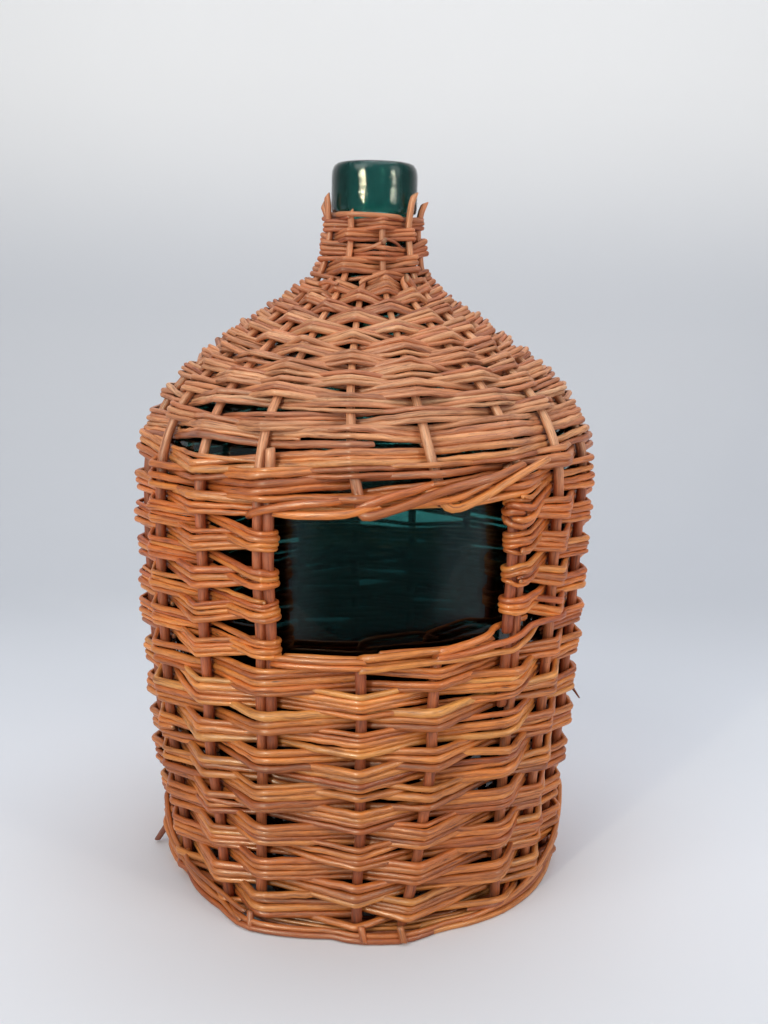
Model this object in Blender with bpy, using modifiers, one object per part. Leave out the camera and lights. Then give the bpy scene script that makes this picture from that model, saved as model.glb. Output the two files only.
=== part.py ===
"""Wicker demijohn: a glass carboy inside a willow basket with a window.

Metres, +Z up, origin on the floor under the middle of the basket.
Angles run anticlockwise seen from above, 0 degrees faces -Y (the window side)
and positive angles turn towards +X.

The basket is nineteen upright stakes with weaving rods passed in front of one
stake and behind the next.  Three rods lie side by side in each row, and a row
is modelled here as one band as high as its three rods.  Nineteen is odd, so
one long band that climbs as it goes round swaps sides on every turn by itself.
"""

import bpy
import bmesh
import math
from mathutils import Vector

# ---------------------------------------------------------------- dimensions
MM = 0.001

TOTAL_H = 400.0            # floor to lip
STAKES = 19                # odd, so that the weave alternates
NECK_STAKES = 9            # every second stake climbs the neck

STAKE_R_FOOT = 3.0         # stake radius at the foot ...
STAKE_R_NECK = 1.55        # ... and at its thin end on the neck
ROD_T_BODY = 3.8           # thickness of a weaving rod on the body ...
ROD_T_NECK = 2.1           # ... and on the neck
GAP = 0.38                 # air between pieces that touch
ROW_GAP = 0.5              # air between a row and the row above

ROW_BODY = 10.75           # height of one row of three rods
ROW_SHOULDER = 9.0
ROW_TOP = 7.6
ROW_NECK = 6.8

SILL_Z = 149.3             # top of the full rows under the window
LINTEL_Z = 234.6           # bottom of the full rows over the window
WINDOW_ROWS = 9
SILL_H = 6.6
LINTEL_ROD = 5.2
ROW_TILT = 5.0             # rows rise to the right by this much, left to right

FOOT_H = 5.6
FOOT_OUT, FOOT_IN = 6.0, 12.5   # how far the foot reaches past the stakes
BASE_SPOKES = 10
BASE_MID_Z = 8.45         # the sticks lie on the foot border
BASE_STICK_R = 2.5
BASE_ROD_T = 2.6
BASE_ROW = 8.6
BASE_HUB_R = 27.0

GLASS_WALL = 4.0
GLASS_FOOT_Z = 14.6
PUNT_H = 13.0
LIP_R = 23.3
LIP_FROM_Z = 378.0
BORE_R = 15.5
GLASS_STEPS = 36

# outside of the basket: radius, height (mm)
OUTSIDE = [
    (118.0, 0.0), (120.0, 45.0), (126.0, 98.0), (129.2, 157.0),
    (131.6, 229.0), (129.8, 248.0), (124.3, 264.0), (115.5, 278.0),
    (104.5, 289.0), (92.0, 298.5), (66.5, 316.0), (44.5, 331.0),
    (36.0, 339.5), (33.0, 348.5), (29.2, 374.5), (31.5, 383.5),
]

# how a stake wanders from its straight line: height, degrees
PATHS = {
    0: [(0, -62), (300, -60), (326, -59)],
    1: [(0, -39.5), (30, -41), (330, -42)],
    2: [(0, -28.2), (45, -26.6), (98, -25.0), (157, -24.7), (229, -24.4),
        (300, -24.6), (328, -25.5)],
    3: [(0, -0.2), (229, -0.3), (248, -3.0), (274, -4.4), (306, -6.2),
        (328, -8.4)],
    4: [(0, 11.2), (48, 15.6), (97, 17.5), (230, 17.6), (246, 15.4),
        (262, 14.2), (281, 12.9), (328, 12.2)],
    5: [(0, 41.8), (45, 41.4), (98, 39.6), (229, 38.9), (264, 36.4),
        (289, 34.6), (330, 31.0)],
    6: [(0, 57.0), (39, 55.6), (106, 53.6), (234, 53.4), (328, 53.0)],
    7: [(0, 74.0), (120, 71.5), (328, 71.5)],
    8: [(0, 92.0), (120, 90.0), (328, 89.5)],
}
BACK_FROM, BACK_TO = 90.0, 298.0      # the unseen stakes share this arc evenly
NECK_ANGLES = [-59.0, -25.5, 12.2, 52.5, 89.5, 131.5, 174.0, 216.0, 258.5]

WOOD_COLOURS = {
    "stake": (0.19, 0.070, 0.026), "weave": (0.30, 0.122, 0.040),
    "pale": (0.36, 0.165, 0.062), "base": (0.22, 0.092, 0.034),
}


# ------------------------------------------------------------------ the scene
def clear_scene():
    for ob in list(bpy.data.objects):
        bpy.data.objects.remove(ob, do_unlink=True)
    for block in (bpy.data.meshes, bpy.data.curves, bpy.data.materials):
        for item in list(block):
            block.remove(item)


def make_collection(name):
    col = bpy.data.collections.new(name)
    bpy.context.scene.collection.children.link(col)
    return col


def make_material(name, colour, roughness, transmission=0.0):
    mat = bpy.data.materials.new(name)
    mat.use_nodes = True
    shader = mat.node_tree.nodes["Principled BSDF"]
    shader.inputs["Base Color"].default_value = (*colour, 1.0)
    shader.inputs["Roughness"].default_value = roughness
    shader.inputs["Metallic"].default_value = 0.0
    shader.inputs["Transmission Weight"].default_value = transmission
    mat.diffuse_color = (*colour, 1.0)
    return mat


# ---------------------------------------------------------------- small maths
def lerp(a, b, f):
    return a + (b - a) * f


def table(points, x):
    if x <= points[0][0]:
        return points[0][1]
    for (x0, y0), (x1, y1) in zip(points, points[1:]):
        if x <= x1:
            return lerp(y0, y1, (x - x0) / (x1 - x0))
    return points[-1][1]


def around(radius, height, degrees):
    a = math.radians(degrees)
    return Vector((radius * math.sin(a), -radius * math.cos(a), height))


def taper(z):
    """0 on the body, 1 from the foot of the neck up."""
    return min(1.0, max(0.0, (z - 235.0) / 100.0))


def stake_radius(z):
    return lerp(STAKE_R_FOOT, STAKE_R_NECK, taper(z))


def rod_thickness(z):
    return lerp(ROD_T_BODY, ROD_T_NECK, taper(z))


class Outline:
    """A meridian line: arc length in, point and outward normal out."""

    def __init__(self, points):
        self.p = [Vector(q) for q in points]
        self.s = [0.0]
        for a, b in zip(self.p, self.p[1:]):
            self.s.append(self.s[-1] + (b - a).length)
        seg = []
        for a, b in zip(self.p, self.p[1:]):
            t = (b - a).normalized()
            seg.append(Vector((t.y, -t.x)))
        self.n = [seg[0]]
        for a, b in zip(seg, seg[1:]):
            self.n.append((a + b).normalized())
        self.n.append(seg[-1])

    def at(self, s):
        i = 0
        while i < len(self.p) - 2 and s > self.s[i + 1]:
            i += 1
        f = (s - self.s[i]) / (self.s[i + 1] - self.s[i])
        g = min(1.0, max(0.0, f))
        return (self.p[i].lerp(self.p[i + 1], f),
                self.n[i].lerp(self.n[i + 1], g).normalized())

    def s_of_height(self, z):
        for i in range(len(self.p) - 1):
            if self.p[i].y <= z <= self.p[i + 1].y:
                f = (z - self.p[i].y) / (self.p[i + 1].y - self.p[i].y)
                return lerp(self.s[i], self.s[i + 1], f)
        return self.s[-1]


def inset(points, depth):
    line = Outline(points)
    return [p - n * depth(p.y) for p, n in zip(line.p, line.n)]


# the line that the stakes' middles follow
STAKE_LINE = Outline(inset(
    OUTSIDE, lambda z: stake_radius(z) + rod_thickness(z) + lerp(0.75, 0.95,
                                                                 taper(z))))


# ------------------------------------------------------------------ the stakes
def stake_angle(i, z):
    """Degrees of stake i at height z."""
    if i in PATHS:
        low = table(PATHS[i], z)
    else:
        low = lerp(BACK_FROM, BACK_TO - 18.6, (i - 8) / 10.0)
    if i % 2 == 0 and i < 2 * NECK_STAKES and z > 300.0:
        goal = NECK_ANGLES[i // 2]
        f = min(1.0, (z - 300.0) / 36.0)
        base = table(PATHS[i], z) if i in PATHS else low
        return lerp(base, goal, f)
    if i in (17, 18) and z > 300.0:
        f = min(1.0, (z - 300.0) / 36.0)
        low = lerp(low, {17: 273.0, 18: 287.0}[i], f)
    elif i not in PATHS and z > 300.0:
        f = min(1.0, (z - 300.0) / 36.0)
        a = NECK_ANGLES[i // 2]
        b = NECK_ANGLES[i // 2 + 1]
        low = lerp(low, (a + b) / 2.0, f)
    return low


def stake_knots(i):
    """The bends of stake i: it runs straight from each to the next."""
    return [around(p.x, p.y, stake_angle(i, p.y)) for p in STAKE_LINE.p]


def stake_point(i, s, offset=0.0, shift=0.0):
    """Point on stake i at arc length s, offset out and shifted sideways."""
    knots = stake_knots(i)
    k = 0
    while k < len(knots) - 2 and s > STAKE_LINE.s[k + 1]:
        k += 1
    f = (s - STAKE_LINE.s[k]) / (STAKE_LINE.s[k + 1] - STAKE_LINE.s[k])
    middle = knots[k].lerp(knots[k + 1], f)
    radius = math.hypot(middle.x, middle.y)
    degrees = math.degrees(math.atan2(middle.x, -middle.y))
    n = STAKE_LINE.at(s)[1]
    turn = math.degrees(shift / max(radius, 1.0))
    return around(radius + n.x * offset, middle.z + n.y * offset,
                  degrees + turn)


def tube_object(name, points, radii, collection, material):
    """A willow stick: a POLY curve with a round bevel and closed ends."""
    curve = bpy.data.curves.new(name, "CURVE")
    curve.dimensions = "3D"
    curve.bevel_depth = MM
    curve.bevel_resolution = 1
    curve.use_fill_caps = True
    curve.twist_mode = "MINIMUM"
    spline = curve.splines.new("POLY")
    spline.points.add(len(points) - 1)
    for item, p, r in zip(spline.points, points, radii):
        item.co = (p.x * MM, p.y * MM, p.z * MM, 1.0)
        item.radius = r
    curve.materials.append(material)
    ob = bpy.data.objects.new(name, curve)
    collection.objects.link(ob)
    return ob


def levels_between(s0, s1):
    inner = [s for s in STAKE_LINE.s if s0 + 4.0 < s < s1 - 4.0]
    return [s0] + inner + [s1]


def make_stake(name, i, s0, s1, collection, material, shift=0.0, thin=1.0):
    ss = levels_between(s0, s1)
    pts = [stake_point(i, s, 0.0, shift) for s in ss]
    rad = [stake_radius(STAKE_LINE.at(s)[0].y) * thin for s in ss]
    return tube_object(name, pts, rad, collection, material)


# ------------------------------------------------------------- woven bands
def band_offsets(radius, count, r_stake, t, squeeze=1.0):
    """How far out and in a band's middle passes a stake, so that its
    straight runs to the next stakes clear this one."""
    half = math.pi / count
    chord = 2.0 * radius * math.sin(half) * squeeze
    out = ins = r_stake + GAP + t / 2.0
    for _ in range(12):
        slope = math.atan2(out + ins, chord)
        out = (r_stake + GAP) / math.cos(slope + half) + t / 2.0
        ins = (r_stake + GAP) / math.cos(max(0.0, slope - half)) + t / 2.0
    return out, ins


def loft(name, sections, collection, material, closed=False):
    """A band through a list of sections, each a ring of points."""
    bm = bmesh.new()
    rings = [[bm.verts.new(p * MM) for p in ring] for ring in sections]
    n = len(rings[0])
    pairs = list(zip(rings, rings[1:]))
    if closed:
        pairs.append((rings[-1], rings[0]))
    for a, b in pairs:
        for k in range(n):
            bm.faces.new((a[k], a[(k + 1) % n], b[(k + 1) % n], b[k]))
    if not closed:
        bm.faces.new(list(reversed(rings[0])))
        bm.faces.new(rings[-1])
    bmesh.ops.triangulate(bm, faces=bm.faces[:])
    bmesh.ops.recalc_face_normals(bm, faces=bm.faces[:])
    mesh = bpy.data.meshes.new(name)
    bm.to_mesh(mesh)
    bm.free()
    mesh.materials.append(material)
    ob = bpy.data.objects.new(name, mesh)
    collection.objects.link(ob)
    return ob


def tilt(s, degrees):
    """Rows rise towards the right of the window; level at foot and neck."""
    z = STAKE_LINE.at(s)[0].y
    w = min(1.0, max(0.0, z / 110.0)) * min(1.0, max(0.0, (325.0 - z) / 60.0))
    return ROW_TILT * w * math.sin(math.radians(degrees))


def stations():
    """Stake numbers round the basket; the two stakes that flank the window
    have a second stick beside them, so a band passes them in two steps."""
    out = []
    for i in range(STAKES):
        if i == 5:
            out.append((i, -1, i))
        out.append((i, 0, i))
        if i == 2:
            out.append((i, 1, i))
    return out


POST_SPACING = 2 * STAKE_R_FOOT - 0.1 + GAP


def side_shift(side):
    return POST_SPACING * side


def bends_between(s_low, s_high):
    """How far the stake line's knots stand out of, and in from, the straight
    line between two of its points."""
    a, b = STAKE_LINE.at(s_low)[0], STAKE_LINE.at(s_high)[0]
    t = (b - a).normalized()
    n = Vector((t.y, -t.x))
    stand = [(p - a).dot(n) for p, s in zip(STAKE_LINE.p, STAKE_LINE.s)
             if s_low < s < s_high]
    return max([0.0] + stand), max([0.0] + [-d for d in stand])


def band_section(i, side, s_low, s_high, sign, count):
    """Four corners of a band where it passes stake i."""
    z = STAKE_LINE.at((s_low + s_high) / 2.0)[0].y
    r_stake, t = stake_radius(z), rod_thickness(z)
    radius = STAKE_LINE.at((s_low + s_high) / 2.0)[0].x
    out, ins = band_offsets(radius, count, r_stake, t, 0.86)
    bulge, hollow = bends_between(s_low, s_high)
    mid = out + bulge if sign > 0 else -ins - hollow
    shift = side_shift(side)
    return [stake_point(i, s_low, mid + t / 2.0, shift),
            stake_point(i, s_high, mid + t / 2.0, shift),
            stake_point(i, s_high, mid - t / 2.0, shift),
            stake_point(i, s_low, mid - t / 2.0, shift)]


def spiral_band(name, s0, s1, rise, count, stops, collection, material,
                first_sign=1, level=tilt, start=0):
    """One band that climbs from s0 to s1.  rise(s) is the row height there.
    Its first and last turns are wedges, so both edges finish level."""
    sliver = 1.9
    n = len(stops)
    # lower edge of the band at station k, before tilting
    edge = [s0] * n
    s = s0 + sliver
    while s < s1 - 1e-6 and len(edge) < 100 * n:
        edge.append(s)
        s += rise(s) / n
    edge += [s1] * (n + 1)
    sections = []
    sign_of = {}
    k = 0
    passes = 0
    last = None
    while True:
        low, high = edge[k], min(edge[k + n], s1)
        if high - low < sliver and k >= n:
            break
        i, side, tag = stops[(k + start) % n]
        if last is None or tag != last:
            passes += 1
        last = tag
        sign = first_sign * (1 if passes % 2 else -1)
        a = stake_angle(i, STAKE_LINE.at(low)[0].y)
        lo = low + level(low, a) + (ROW_GAP / 2.0)
        hi = high + level(high, a) - (ROW_GAP / 2.0)
        sections.append(band_section(i, side, lo, hi, sign, count))
        k += 1
        if k + n >= len(edge):
            break
    return loft(name, sections, collection, material)


def window_band(name, s0, s1, rows, collection, material):
    """Rows that run to and fro behind the window's edges, each turning round
    the post there and coming back one row higher."""
    order = [st for st in stations() if st[2] >= 5] + \
            [st for st in stations() if st[2] <= 2]
    # the posts' own steps come first and last on this path
    sections = []
    step = 1.0 / rows

    def edges(i, f0, f1):
        a = stake_angle(i, 190.0)
        lo = lerp(s0 + tilt(s0, a), s1 + tilt(s1, a), f0) + ROW_GAP / 2.0
        hi = lerp(s0 + tilt(s0, a), s1 + tilt(s1, a), f1) - ROW_GAP / 2.0
        return lo, hi

    def turn(i, side, row, towards, from_out):
        """Half a circle round the post, climbing one row on the way."""
        out = []
        z = 190.0
        r_stake, t = stake_radius(z), rod_thickness(z)
        reach = (r_stake + 0.55) / math.cos(math.radians(22.5)) + t / 2.0
        for q in range(1, 4):
            f = q / 4.0
            theta = math.pi * f if from_out else math.pi * (1.0 - f)
            lo, hi = edges(i, (row + f) * step, (row + 1 + f) * step)
            ring = []
            for s, d in ((lo, 1), (hi, 1), (hi, -1), (lo, -1)):
                dist = reach + d * t / 2.0
                ring.append(stake_point(i, s, dist * math.cos(theta),
                                        side_shift(side)
                                        + towards * dist * math.sin(theta)))
            # keep "outer, outer, inner, inner" the same way round as the runs
            out.append(ring)
        return out

    forward = True
    for row in range(rows):
        path = order if forward else list(reversed(order))
        passes = 0
        last = None
        outside_first = (row % 2 == 1)
        for (i, side, tag) in path:
            if last is None or tag != last:
                passes += 1
            last = tag
            sign = 1 if (passes % 2 == 1) == outside_first else -1
            lo, hi = edges(i, row * step, (row + 1) * step)
            ring = band_section(i, side, lo, hi, sign, STAKES)
            if not forward:
                ring = [ring[3], ring[2], ring[1], ring[0]]
            sections.append(ring)
        if row < rows - 1:
            i, side, tag = path[-1]
            from_out = (row % 2 == 1)
            sections += turn(i, side, row, 1 if forward else -1, from_out)
        forward = not forward
    return loft(name, fix_turns(sections), collection, material)


def fix_turns(sections):
    """Make neighbouring rings start at the corner nearest the last ring's."""
    out = [sections[0]]
    for ring in sections[1:]:
        prev = out[-1]
        best = None
        for flip in (False, True):
            r = list(reversed(ring)) if flip else list(ring)
            for k in range(4):
                cand = r[k:] + r[:k]
                cost = sum((a - b).length for a, b in zip(cand, prev))
                if best is None or cost < best[0]:
                    best = (cost, cand)
        out.append(best[1])
    return out


# ------------------------------------------------------------------- the parts
def build_stakes(col, mat):
    z_at = STAKE_LINE.s_of_height
    foot = z_at(FOOT_H + 0.6)
    for i in range(STAKES):
        name = "stake_%02d" % (i + 1)
        top = z_at(382.0) if (i % 2 == 0 and i < 2 * NECK_STAKES) \
            else z_at(337.5)
        if i in (3, 4):
            a = stake_angle(i, 150.0)
            s_sill = z_at(SILL_Z) + tilt(z_at(SILL_Z), a)
            s_lint = z_at(LINTEL_Z) + tilt(z_at(LINTEL_Z), a)
            make_stake(name + "_lower", i, foot, s_sill - 0.4, col, mat)
            make_stake(name + "_upper", i, s_lint + 0.4, top, col, mat)
        else:
            make_stake(name, i, foot, top, col, mat)
    make_stake("window_post_left", 2, z_at(104.0), z_at(252.0), col, mat,
               side_shift(1), 0.96)
    make_stake("window_post_right", 5, z_at(124.0), z_at(249.0), col, mat,
               side_shift(-1), 0.96)


def build_weave(col, mat, pale):
    z_at = STAKE_LINE.s_of_height
    stops = stations()
    s_foot, s_sill = z_at(FOOT_H + 0.6), z_at(SILL_Z)
    s_lintel, s_waist = z_at(LINTEL_Z), z_at(266.0)
    s_collar, s_neck = z_at(336.5), z_at(375.0)

    spiral_band("lower_weave", s_foot, s_sill, lambda s: ROW_BODY, STAKES,
                stops, col, mat, -1)
    window_band("window_weave", s_sill, s_lintel, WINDOW_ROWS, col, mat)
    spiral_band("upper_weave", s_lintel, s_waist, lambda s: ROW_BODY - 0.4,
                STAKES, stops, col, mat, 1)

    def shoulder_rise(s):
        return lerp(ROW_SHOULDER, ROW_TOP, min(1.0, (s - s_waist) / 90.0))

    plain_stops = [(i, 0, i) for i in range(STAKES)]
    spiral_band("shoulder_weave", s_waist, s_collar, shoulder_rise, STAKES,
                plain_stops, col, pale, 1)
    neck_stops = [(i, 0, i) for i in range(0, 2 * NECK_STAKES, 2)]
    spiral_band("neck_weave", s_collar + 0.3, s_neck, lambda s: ROW_NECK,
                NECK_STAKES, neck_stops, col, pale, 1,
                level=lambda s, a: 0.0)


def border_rod(name, s_of, offset, radius, col, mat, first, last, count=9):
    """A stout rod that bridges the window along its top or bottom edge."""
    pts = []
    for k in range(count):
        a = lerp(first, last, k / (count - 1.0))
        s = s_of(a)
        p, n = STAKE_LINE.at(s)
        q = p + n * offset(a)
        pts.append(around(q.x, q.y, a))
    return tube_object(name, pts, [radius] * count, col, mat)


def build_window_edges(col, mat):
    z_at = STAKE_LINE.s_of_height
    s_sill, s_lint = z_at(SILL_Z), z_at(LINTEL_Z)
    left = stake_angle(2, 190.0) + 7.1
    right = stake_angle(5, 190.0) - 7.1

    def sill(a):
        return s_sill + tilt(s_sill, a) + SILL_H / 2.0

    def lintel(a):
        return s_lint + tilt(s_lint, a) - 0.4 - LINTEL_ROD / 2.0

    r = SILL_H / 2.0 - 0.1
    border_rod("window_sill_rod_outer", sill, lambda a: r + 0.2, r,
               col, mat, left, right)
    border_rod("window_sill_rod_inner", sill, lambda a: -r - 0.2, r,
               col, mat, left, right)
    r = LINTEL_ROD / 2.0
    border_rod("window_head_rod_outer", lintel, lambda a: r + 0.2, r,
               col, mat, left, right)
    border_rod("window_head_rod_inner", lintel, lambda a: -r - 0.2, r,
               col, mat, left, right)


def build_foot(col, mat):
    """The rolled border under the stakes' ends, flat underneath."""
    rings = []
    c = 1.6
    for i in range(STAKES):
        a = stake_angle(i, 0.0)
        r = STAKE_LINE.at(0.0)[0].x
        u, w = -FOOT_IN, FOOT_OUT
        shape = [(u, c), (u + c, 0.0), (w - c, 0.0), (w, c),
                 (w, FOOT_H - c), (w - c, FOOT_H), (u + c, FOOT_H),
                 (u, FOOT_H - c)]
        rings.append([around(r + x, z, a) for x, z in shape])
    return loft("foot_border", rings, col, mat, closed=True)


def base_spoke_angle(k):
    return 9.0 + 360.0 * k / BASE_SPOKES


def build_base(col, mat):
    """A woven mat under the glass: five sticks crossed two over three and
    fanned out into ten spokes, with two weavers chasing each other round."""
    lift = BASE_STICK_R + 0.2
    end_r = STAKE_LINE.at(0.0)[0].x - 9.0
    mat_r = STAKE_LINE.at(0.0)[0].x - FOOT_IN - 3.0
    fan = 360.0 / BASE_SPOKES
    for group, (count, z0) in enumerate(((3, BASE_MID_Z - lift),
                                         (2, BASE_MID_Z + lift))):
        for j in range(count):
            side = j - (count - 1) / 2.0
            if count == 3:
                axis = base_spoke_angle(0)
            else:
                axis = base_spoke_angle(2) + fan / 2.0
            # spokes leave the hub parallel and open out by one fan step each
            across = around(1.0, 0.0, axis + 90.0)
            along = around(1.0, 0.0, axis)
            pts = []
            spread = 2.0 * BASE_STICK_R + 0.5
            for end in (-1, 1):
                d = axis + (180.0 if end < 0 else 0.0)
                d += fan * side * (1 if end > 0 else -1)
                tip = around(end_r, BASE_MID_Z, d)
                knee = around(BASE_HUB_R + 3.0, BASE_MID_Z, d)
                hub = along * (end * 11.0) + across * (side * spread)
                hub.z = z0
                part = [hub, knee, tip]
                pts = list(reversed(part)) + pts if end < 0 else pts + part
            radii = [BASE_STICK_R] * len(pts)
            tube_object("base_stick_%s%d" % ("long" if group == 0 else
                                             "cross", j + 1),
                        pts, radii, col, mat)

    t = BASE_ROD_T
    for w in range(2):
        sections = []
        rows = (mat_r - BASE_HUB_R - 6.0) / BASE_ROW
        turns = int((rows - 1.0) / 2.0 * BASE_SPOKES)
        for k in range(turns + 1):
            u = k / float(BASE_SPOKES)
            r0 = BASE_HUB_R + 6.0 + 2.0 * u * BASE_ROW + ROW_GAP / 2.0
            r1 = r0 + BASE_ROW - ROW_GAP
            sign = 1 if k % 2 == 0 else -1
            rm = (r0 + r1) / 2.0
            chord = 2.0 * rm * math.sin(math.pi / BASE_SPOKES)
            off = (BASE_STICK_R + GAP) / math.cos(
                math.atan2(8.0, chord)) + t / 2.0
            zc = BASE_MID_Z + sign * off
            a = base_spoke_angle(k + 5 * w)
            sections.append([around(r0, zc - t / 2.0, a),
                             around(r1, zc - t / 2.0, a),
                             around(r1, zc + t / 2.0, a),
                             around(r0, zc + t / 2.0, a)])
        loft("base_weaver_%d" % (w + 1), sections, col, mat)


def smooth_line(points, per_span):
    """Catmull-Rom curve through the points."""
    pts = [points[0]] + list(points) + [points[-1]]
    out = []
    for i in range(1, len(pts) - 2):
        p0, p1, p2, p3 = (Vector(q) for q in pts[i - 1:i + 3])
        for k in range(per_span):
            u = k / float(per_span)
            out.append(0.5 * ((2.0 * p1) + (p2 - p0) * u
                              + (2.0 * p0 - 5.0 * p1 + 4.0 * p2 - p3) * u * u
                              + (3.0 * p1 - p0 - 3.0 * p2 + p3) * u ** 3))
    out.append(Vector(points[-1]))
    return out


def glass_outside():
    """Outer wall of the glass from the lip's foot down to the heel."""
    out = []
    for p, n in zip(STAKE_LINE.p, STAKE_LINE.n):
        if p.y < 40.0 or p.y > 352.0:
            continue
        t, r = rod_thickness(p.y), stake_radius(p.y)
        count = STAKES if p.y < 338.0 else NECK_STAKES
        ins = band_offsets(p.x, count, r, t)[1]
        q = p - n * (ins + t / 2.0 + lerp(0.9, 1.5, taper(p.y)))
        out.append((q.x, q.y))
    return out


def build_glass(col, mat):
    side = glass_outside()                       # heel side first, neck last
    body_r = side[0][0]
    neck_r = 18.9
    heel = [(body_r - 22.0, GLASS_FOOT_Z), (body_r - 9.5, GLASS_FOOT_Z + 2.0),
            (body_r - 3.2, GLASS_FOOT_Z + 8.5), (body_r - 1.0, GLASS_FOOT_Z
                                                 + 18.0)]
    side = [q for q in side if q[0] > neck_r + 1.0]
    outer = heel + side + [(neck_r + 0.35, 356.0), (neck_r, 366.0),
                           (neck_r, 375.9)]
    outer = smooth_line(outer, 1)
    # the lip band: a short flare, a straight band, a rounded flat top
    lip = [(LIP_R - 1.0, LIP_FROM_Z - 1.2), (LIP_R, LIP_FROM_Z + 0.6),
           (LIP_R, TOTAL_H - 3.4), (LIP_R - 0.9, TOTAL_H - 1.0),
           (LIP_R - 2.6, TOTAL_H), (BORE_R + 2.4, TOTAL_H),
           (BORE_R + 0.6, TOTAL_H - 0.9), (BORE_R, TOTAL_H - 3.0)]
    line = Outline([(p.x, p.y) for p in outer])
    inner = []
    for p, n in zip(line.p, line.n):
        if p.y < GLASS_FOOT_Z + 15.0:
            continue
        wall = lerp(GLASS_WALL, 4.6, taper(p.y))
        q = p - n * wall
        if q.x > BORE_R + 0.2:
            inner.append((q.x, q.y))
    floor_z = GLASS_FOOT_Z + 6.0
    heel_in = [(0.0, floor_z + PUNT_H), (22.0, floor_z + PUNT_H - 2.2),
               (48.0, floor_z + 4.0), (body_r - 30.0, floor_z),
               (body_r - 12.0, floor_z + 2.6)]
    under = [(body_r - 38.0, GLASS_FOOT_Z + 0.6), (48.0, GLASS_FOOT_Z + 4.5),
             (22.0, GLASS_FOOT_Z + PUNT_H - 3.0),
             (0.0, GLASS_FOOT_Z + PUNT_H)]
    profile = heel_in + inner + [(BORE_R, 352.0)] + list(reversed(lip)) \
        + [(p.x, p.y) for p in reversed(outer)] + under

    bm = bmesh.new()
    verts = [bm.verts.new((x * MM, 0.0, z * MM)) for x, z in profile]
    for a, b in zip(verts, verts[1:]):
        bm.edges.new((a, b))
    mesh = bpy.data.meshes.new("glass_bottle")
    bm.to_mesh(mesh)
    bm.free()
    mesh.materials.append(mat)
    ob = bpy.data.objects.new("glass_bottle", mesh)
    col.objects.link(ob)
    screw = ob.modifiers.new("turned", "SCREW")
    screw.axis = "Z"
    screw.angle = 2.0 * math.pi
    screw.steps = GLASS_STEPS
    screw.render_steps = GLASS_STEPS
    screw.use_merge_vertices = True
    screw.merge_threshold = 0.00001
    screw.use_smooth_shade = True
    return ob


def main():
    clear_scene()
    col = make_collection("wicker_demijohn")
    stake = make_material("willow_stake", WOOD_COLOURS["stake"], 0.55)
    weave = make_material("willow_weave", WOOD_COLOURS["weave"], 0.5)
    pale = make_material("willow_weave_pale", WOOD_COLOURS["pale"], 0.55)
    base = make_material("willow_base", WOOD_COLOURS["base"], 0.6)
    glass = make_material("green_glass", (0.01, 0.12, 0.10), 0.05, 1.0)

    build_glass(col, glass)
    build_base(col, base)
    build_foot(col, weave)
    build_stakes(col, stake)
    build_weave(col, weave, pale)
    build_window_edges(col, weave)


main()
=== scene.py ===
"""Wicker demijohn: the visual model.

A green glass carboy in a willow basket with a window.  Every willow rod is a
tapered stick of its own, woven round nineteen stakes.  Lengths below are in
millimetres until a mesh is made.  Angle 0 faces -Y (the window side) and
positive angles turn towards +X.
"""
import math

import bpy
import numpy as np
from mathutils import Matrix, Vector


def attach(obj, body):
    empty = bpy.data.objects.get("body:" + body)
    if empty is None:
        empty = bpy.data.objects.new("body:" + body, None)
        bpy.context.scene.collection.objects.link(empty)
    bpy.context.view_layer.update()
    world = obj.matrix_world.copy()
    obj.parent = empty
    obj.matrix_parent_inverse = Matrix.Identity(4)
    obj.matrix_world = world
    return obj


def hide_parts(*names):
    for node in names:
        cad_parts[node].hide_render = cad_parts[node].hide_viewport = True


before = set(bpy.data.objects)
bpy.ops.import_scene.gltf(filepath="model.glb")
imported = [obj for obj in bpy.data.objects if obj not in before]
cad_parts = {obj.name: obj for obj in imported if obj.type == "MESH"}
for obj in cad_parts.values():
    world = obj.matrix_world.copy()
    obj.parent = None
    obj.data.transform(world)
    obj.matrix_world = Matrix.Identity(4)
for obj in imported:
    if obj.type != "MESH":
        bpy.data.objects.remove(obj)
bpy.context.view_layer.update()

MM = 0.001
rng = np.random.default_rng(20)


def reseed(n):
    """Each piece draws its own numbers, so that one can change alone."""
    global rng
    rng = np.random.default_rng(n)

# ------------------------------------------------------------------- camera
cam_data = bpy.data.cameras.new("camera")
cam_data.sensor_fit = "AUTO"
cam_data.sensor_width = 36.0
cam_data.lens = 1100.0 * 36.0 / 1024.0
cam_data.clip_start = 0.02
cam_data.clip_end = 50.0
camera = bpy.data.objects.new("camera", cam_data)
bpy.context.scene.collection.objects.link(camera)
camera.matrix_world = (Matrix.Translation((0.009, -0.632, 0.332))
                       @ Matrix.Rotation(math.radians(78.6), 4, "X")
                       @ Matrix.Rotation(math.radians(1.2), 4, "Z"))
bpy.context.scene.camera = camera
bpy.context.scene.view_settings.view_transform = "Standard"
bpy.context.scene.view_settings.look = "None"

# ---------------------------------------------------------------- dimensions
STAKES = 19
NECK_STAKES = 9
STAKE_R_FOOT, STAKE_R_NECK = 3.0, 1.55
ROD_T_BODY, ROD_T_NECK = 3.8, 2.1
GAP = 0.38
ROW_BODY, ROW_SHOULDER, ROW_TOP, ROW_NECK = 10.75, 8.4, 7.5, 7.15
SILL_Z, LINTEL_Z = 149.3, 234.6
WINDOW_ROWS = 9
SILL_H, LINTEL_ROD = 6.6, 5.2
ROW_TILT = 5.0
FOOT_H = 5.6
POST_SPACING = 5.75
BASE_SPOKES = 10
BASE_MID_Z = 8.45
BASE_STICK_R = 2.5
BASE_ROW = 8.6
BASE_HUB_R = 27.0
FOOT_IN = 12.5

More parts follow.
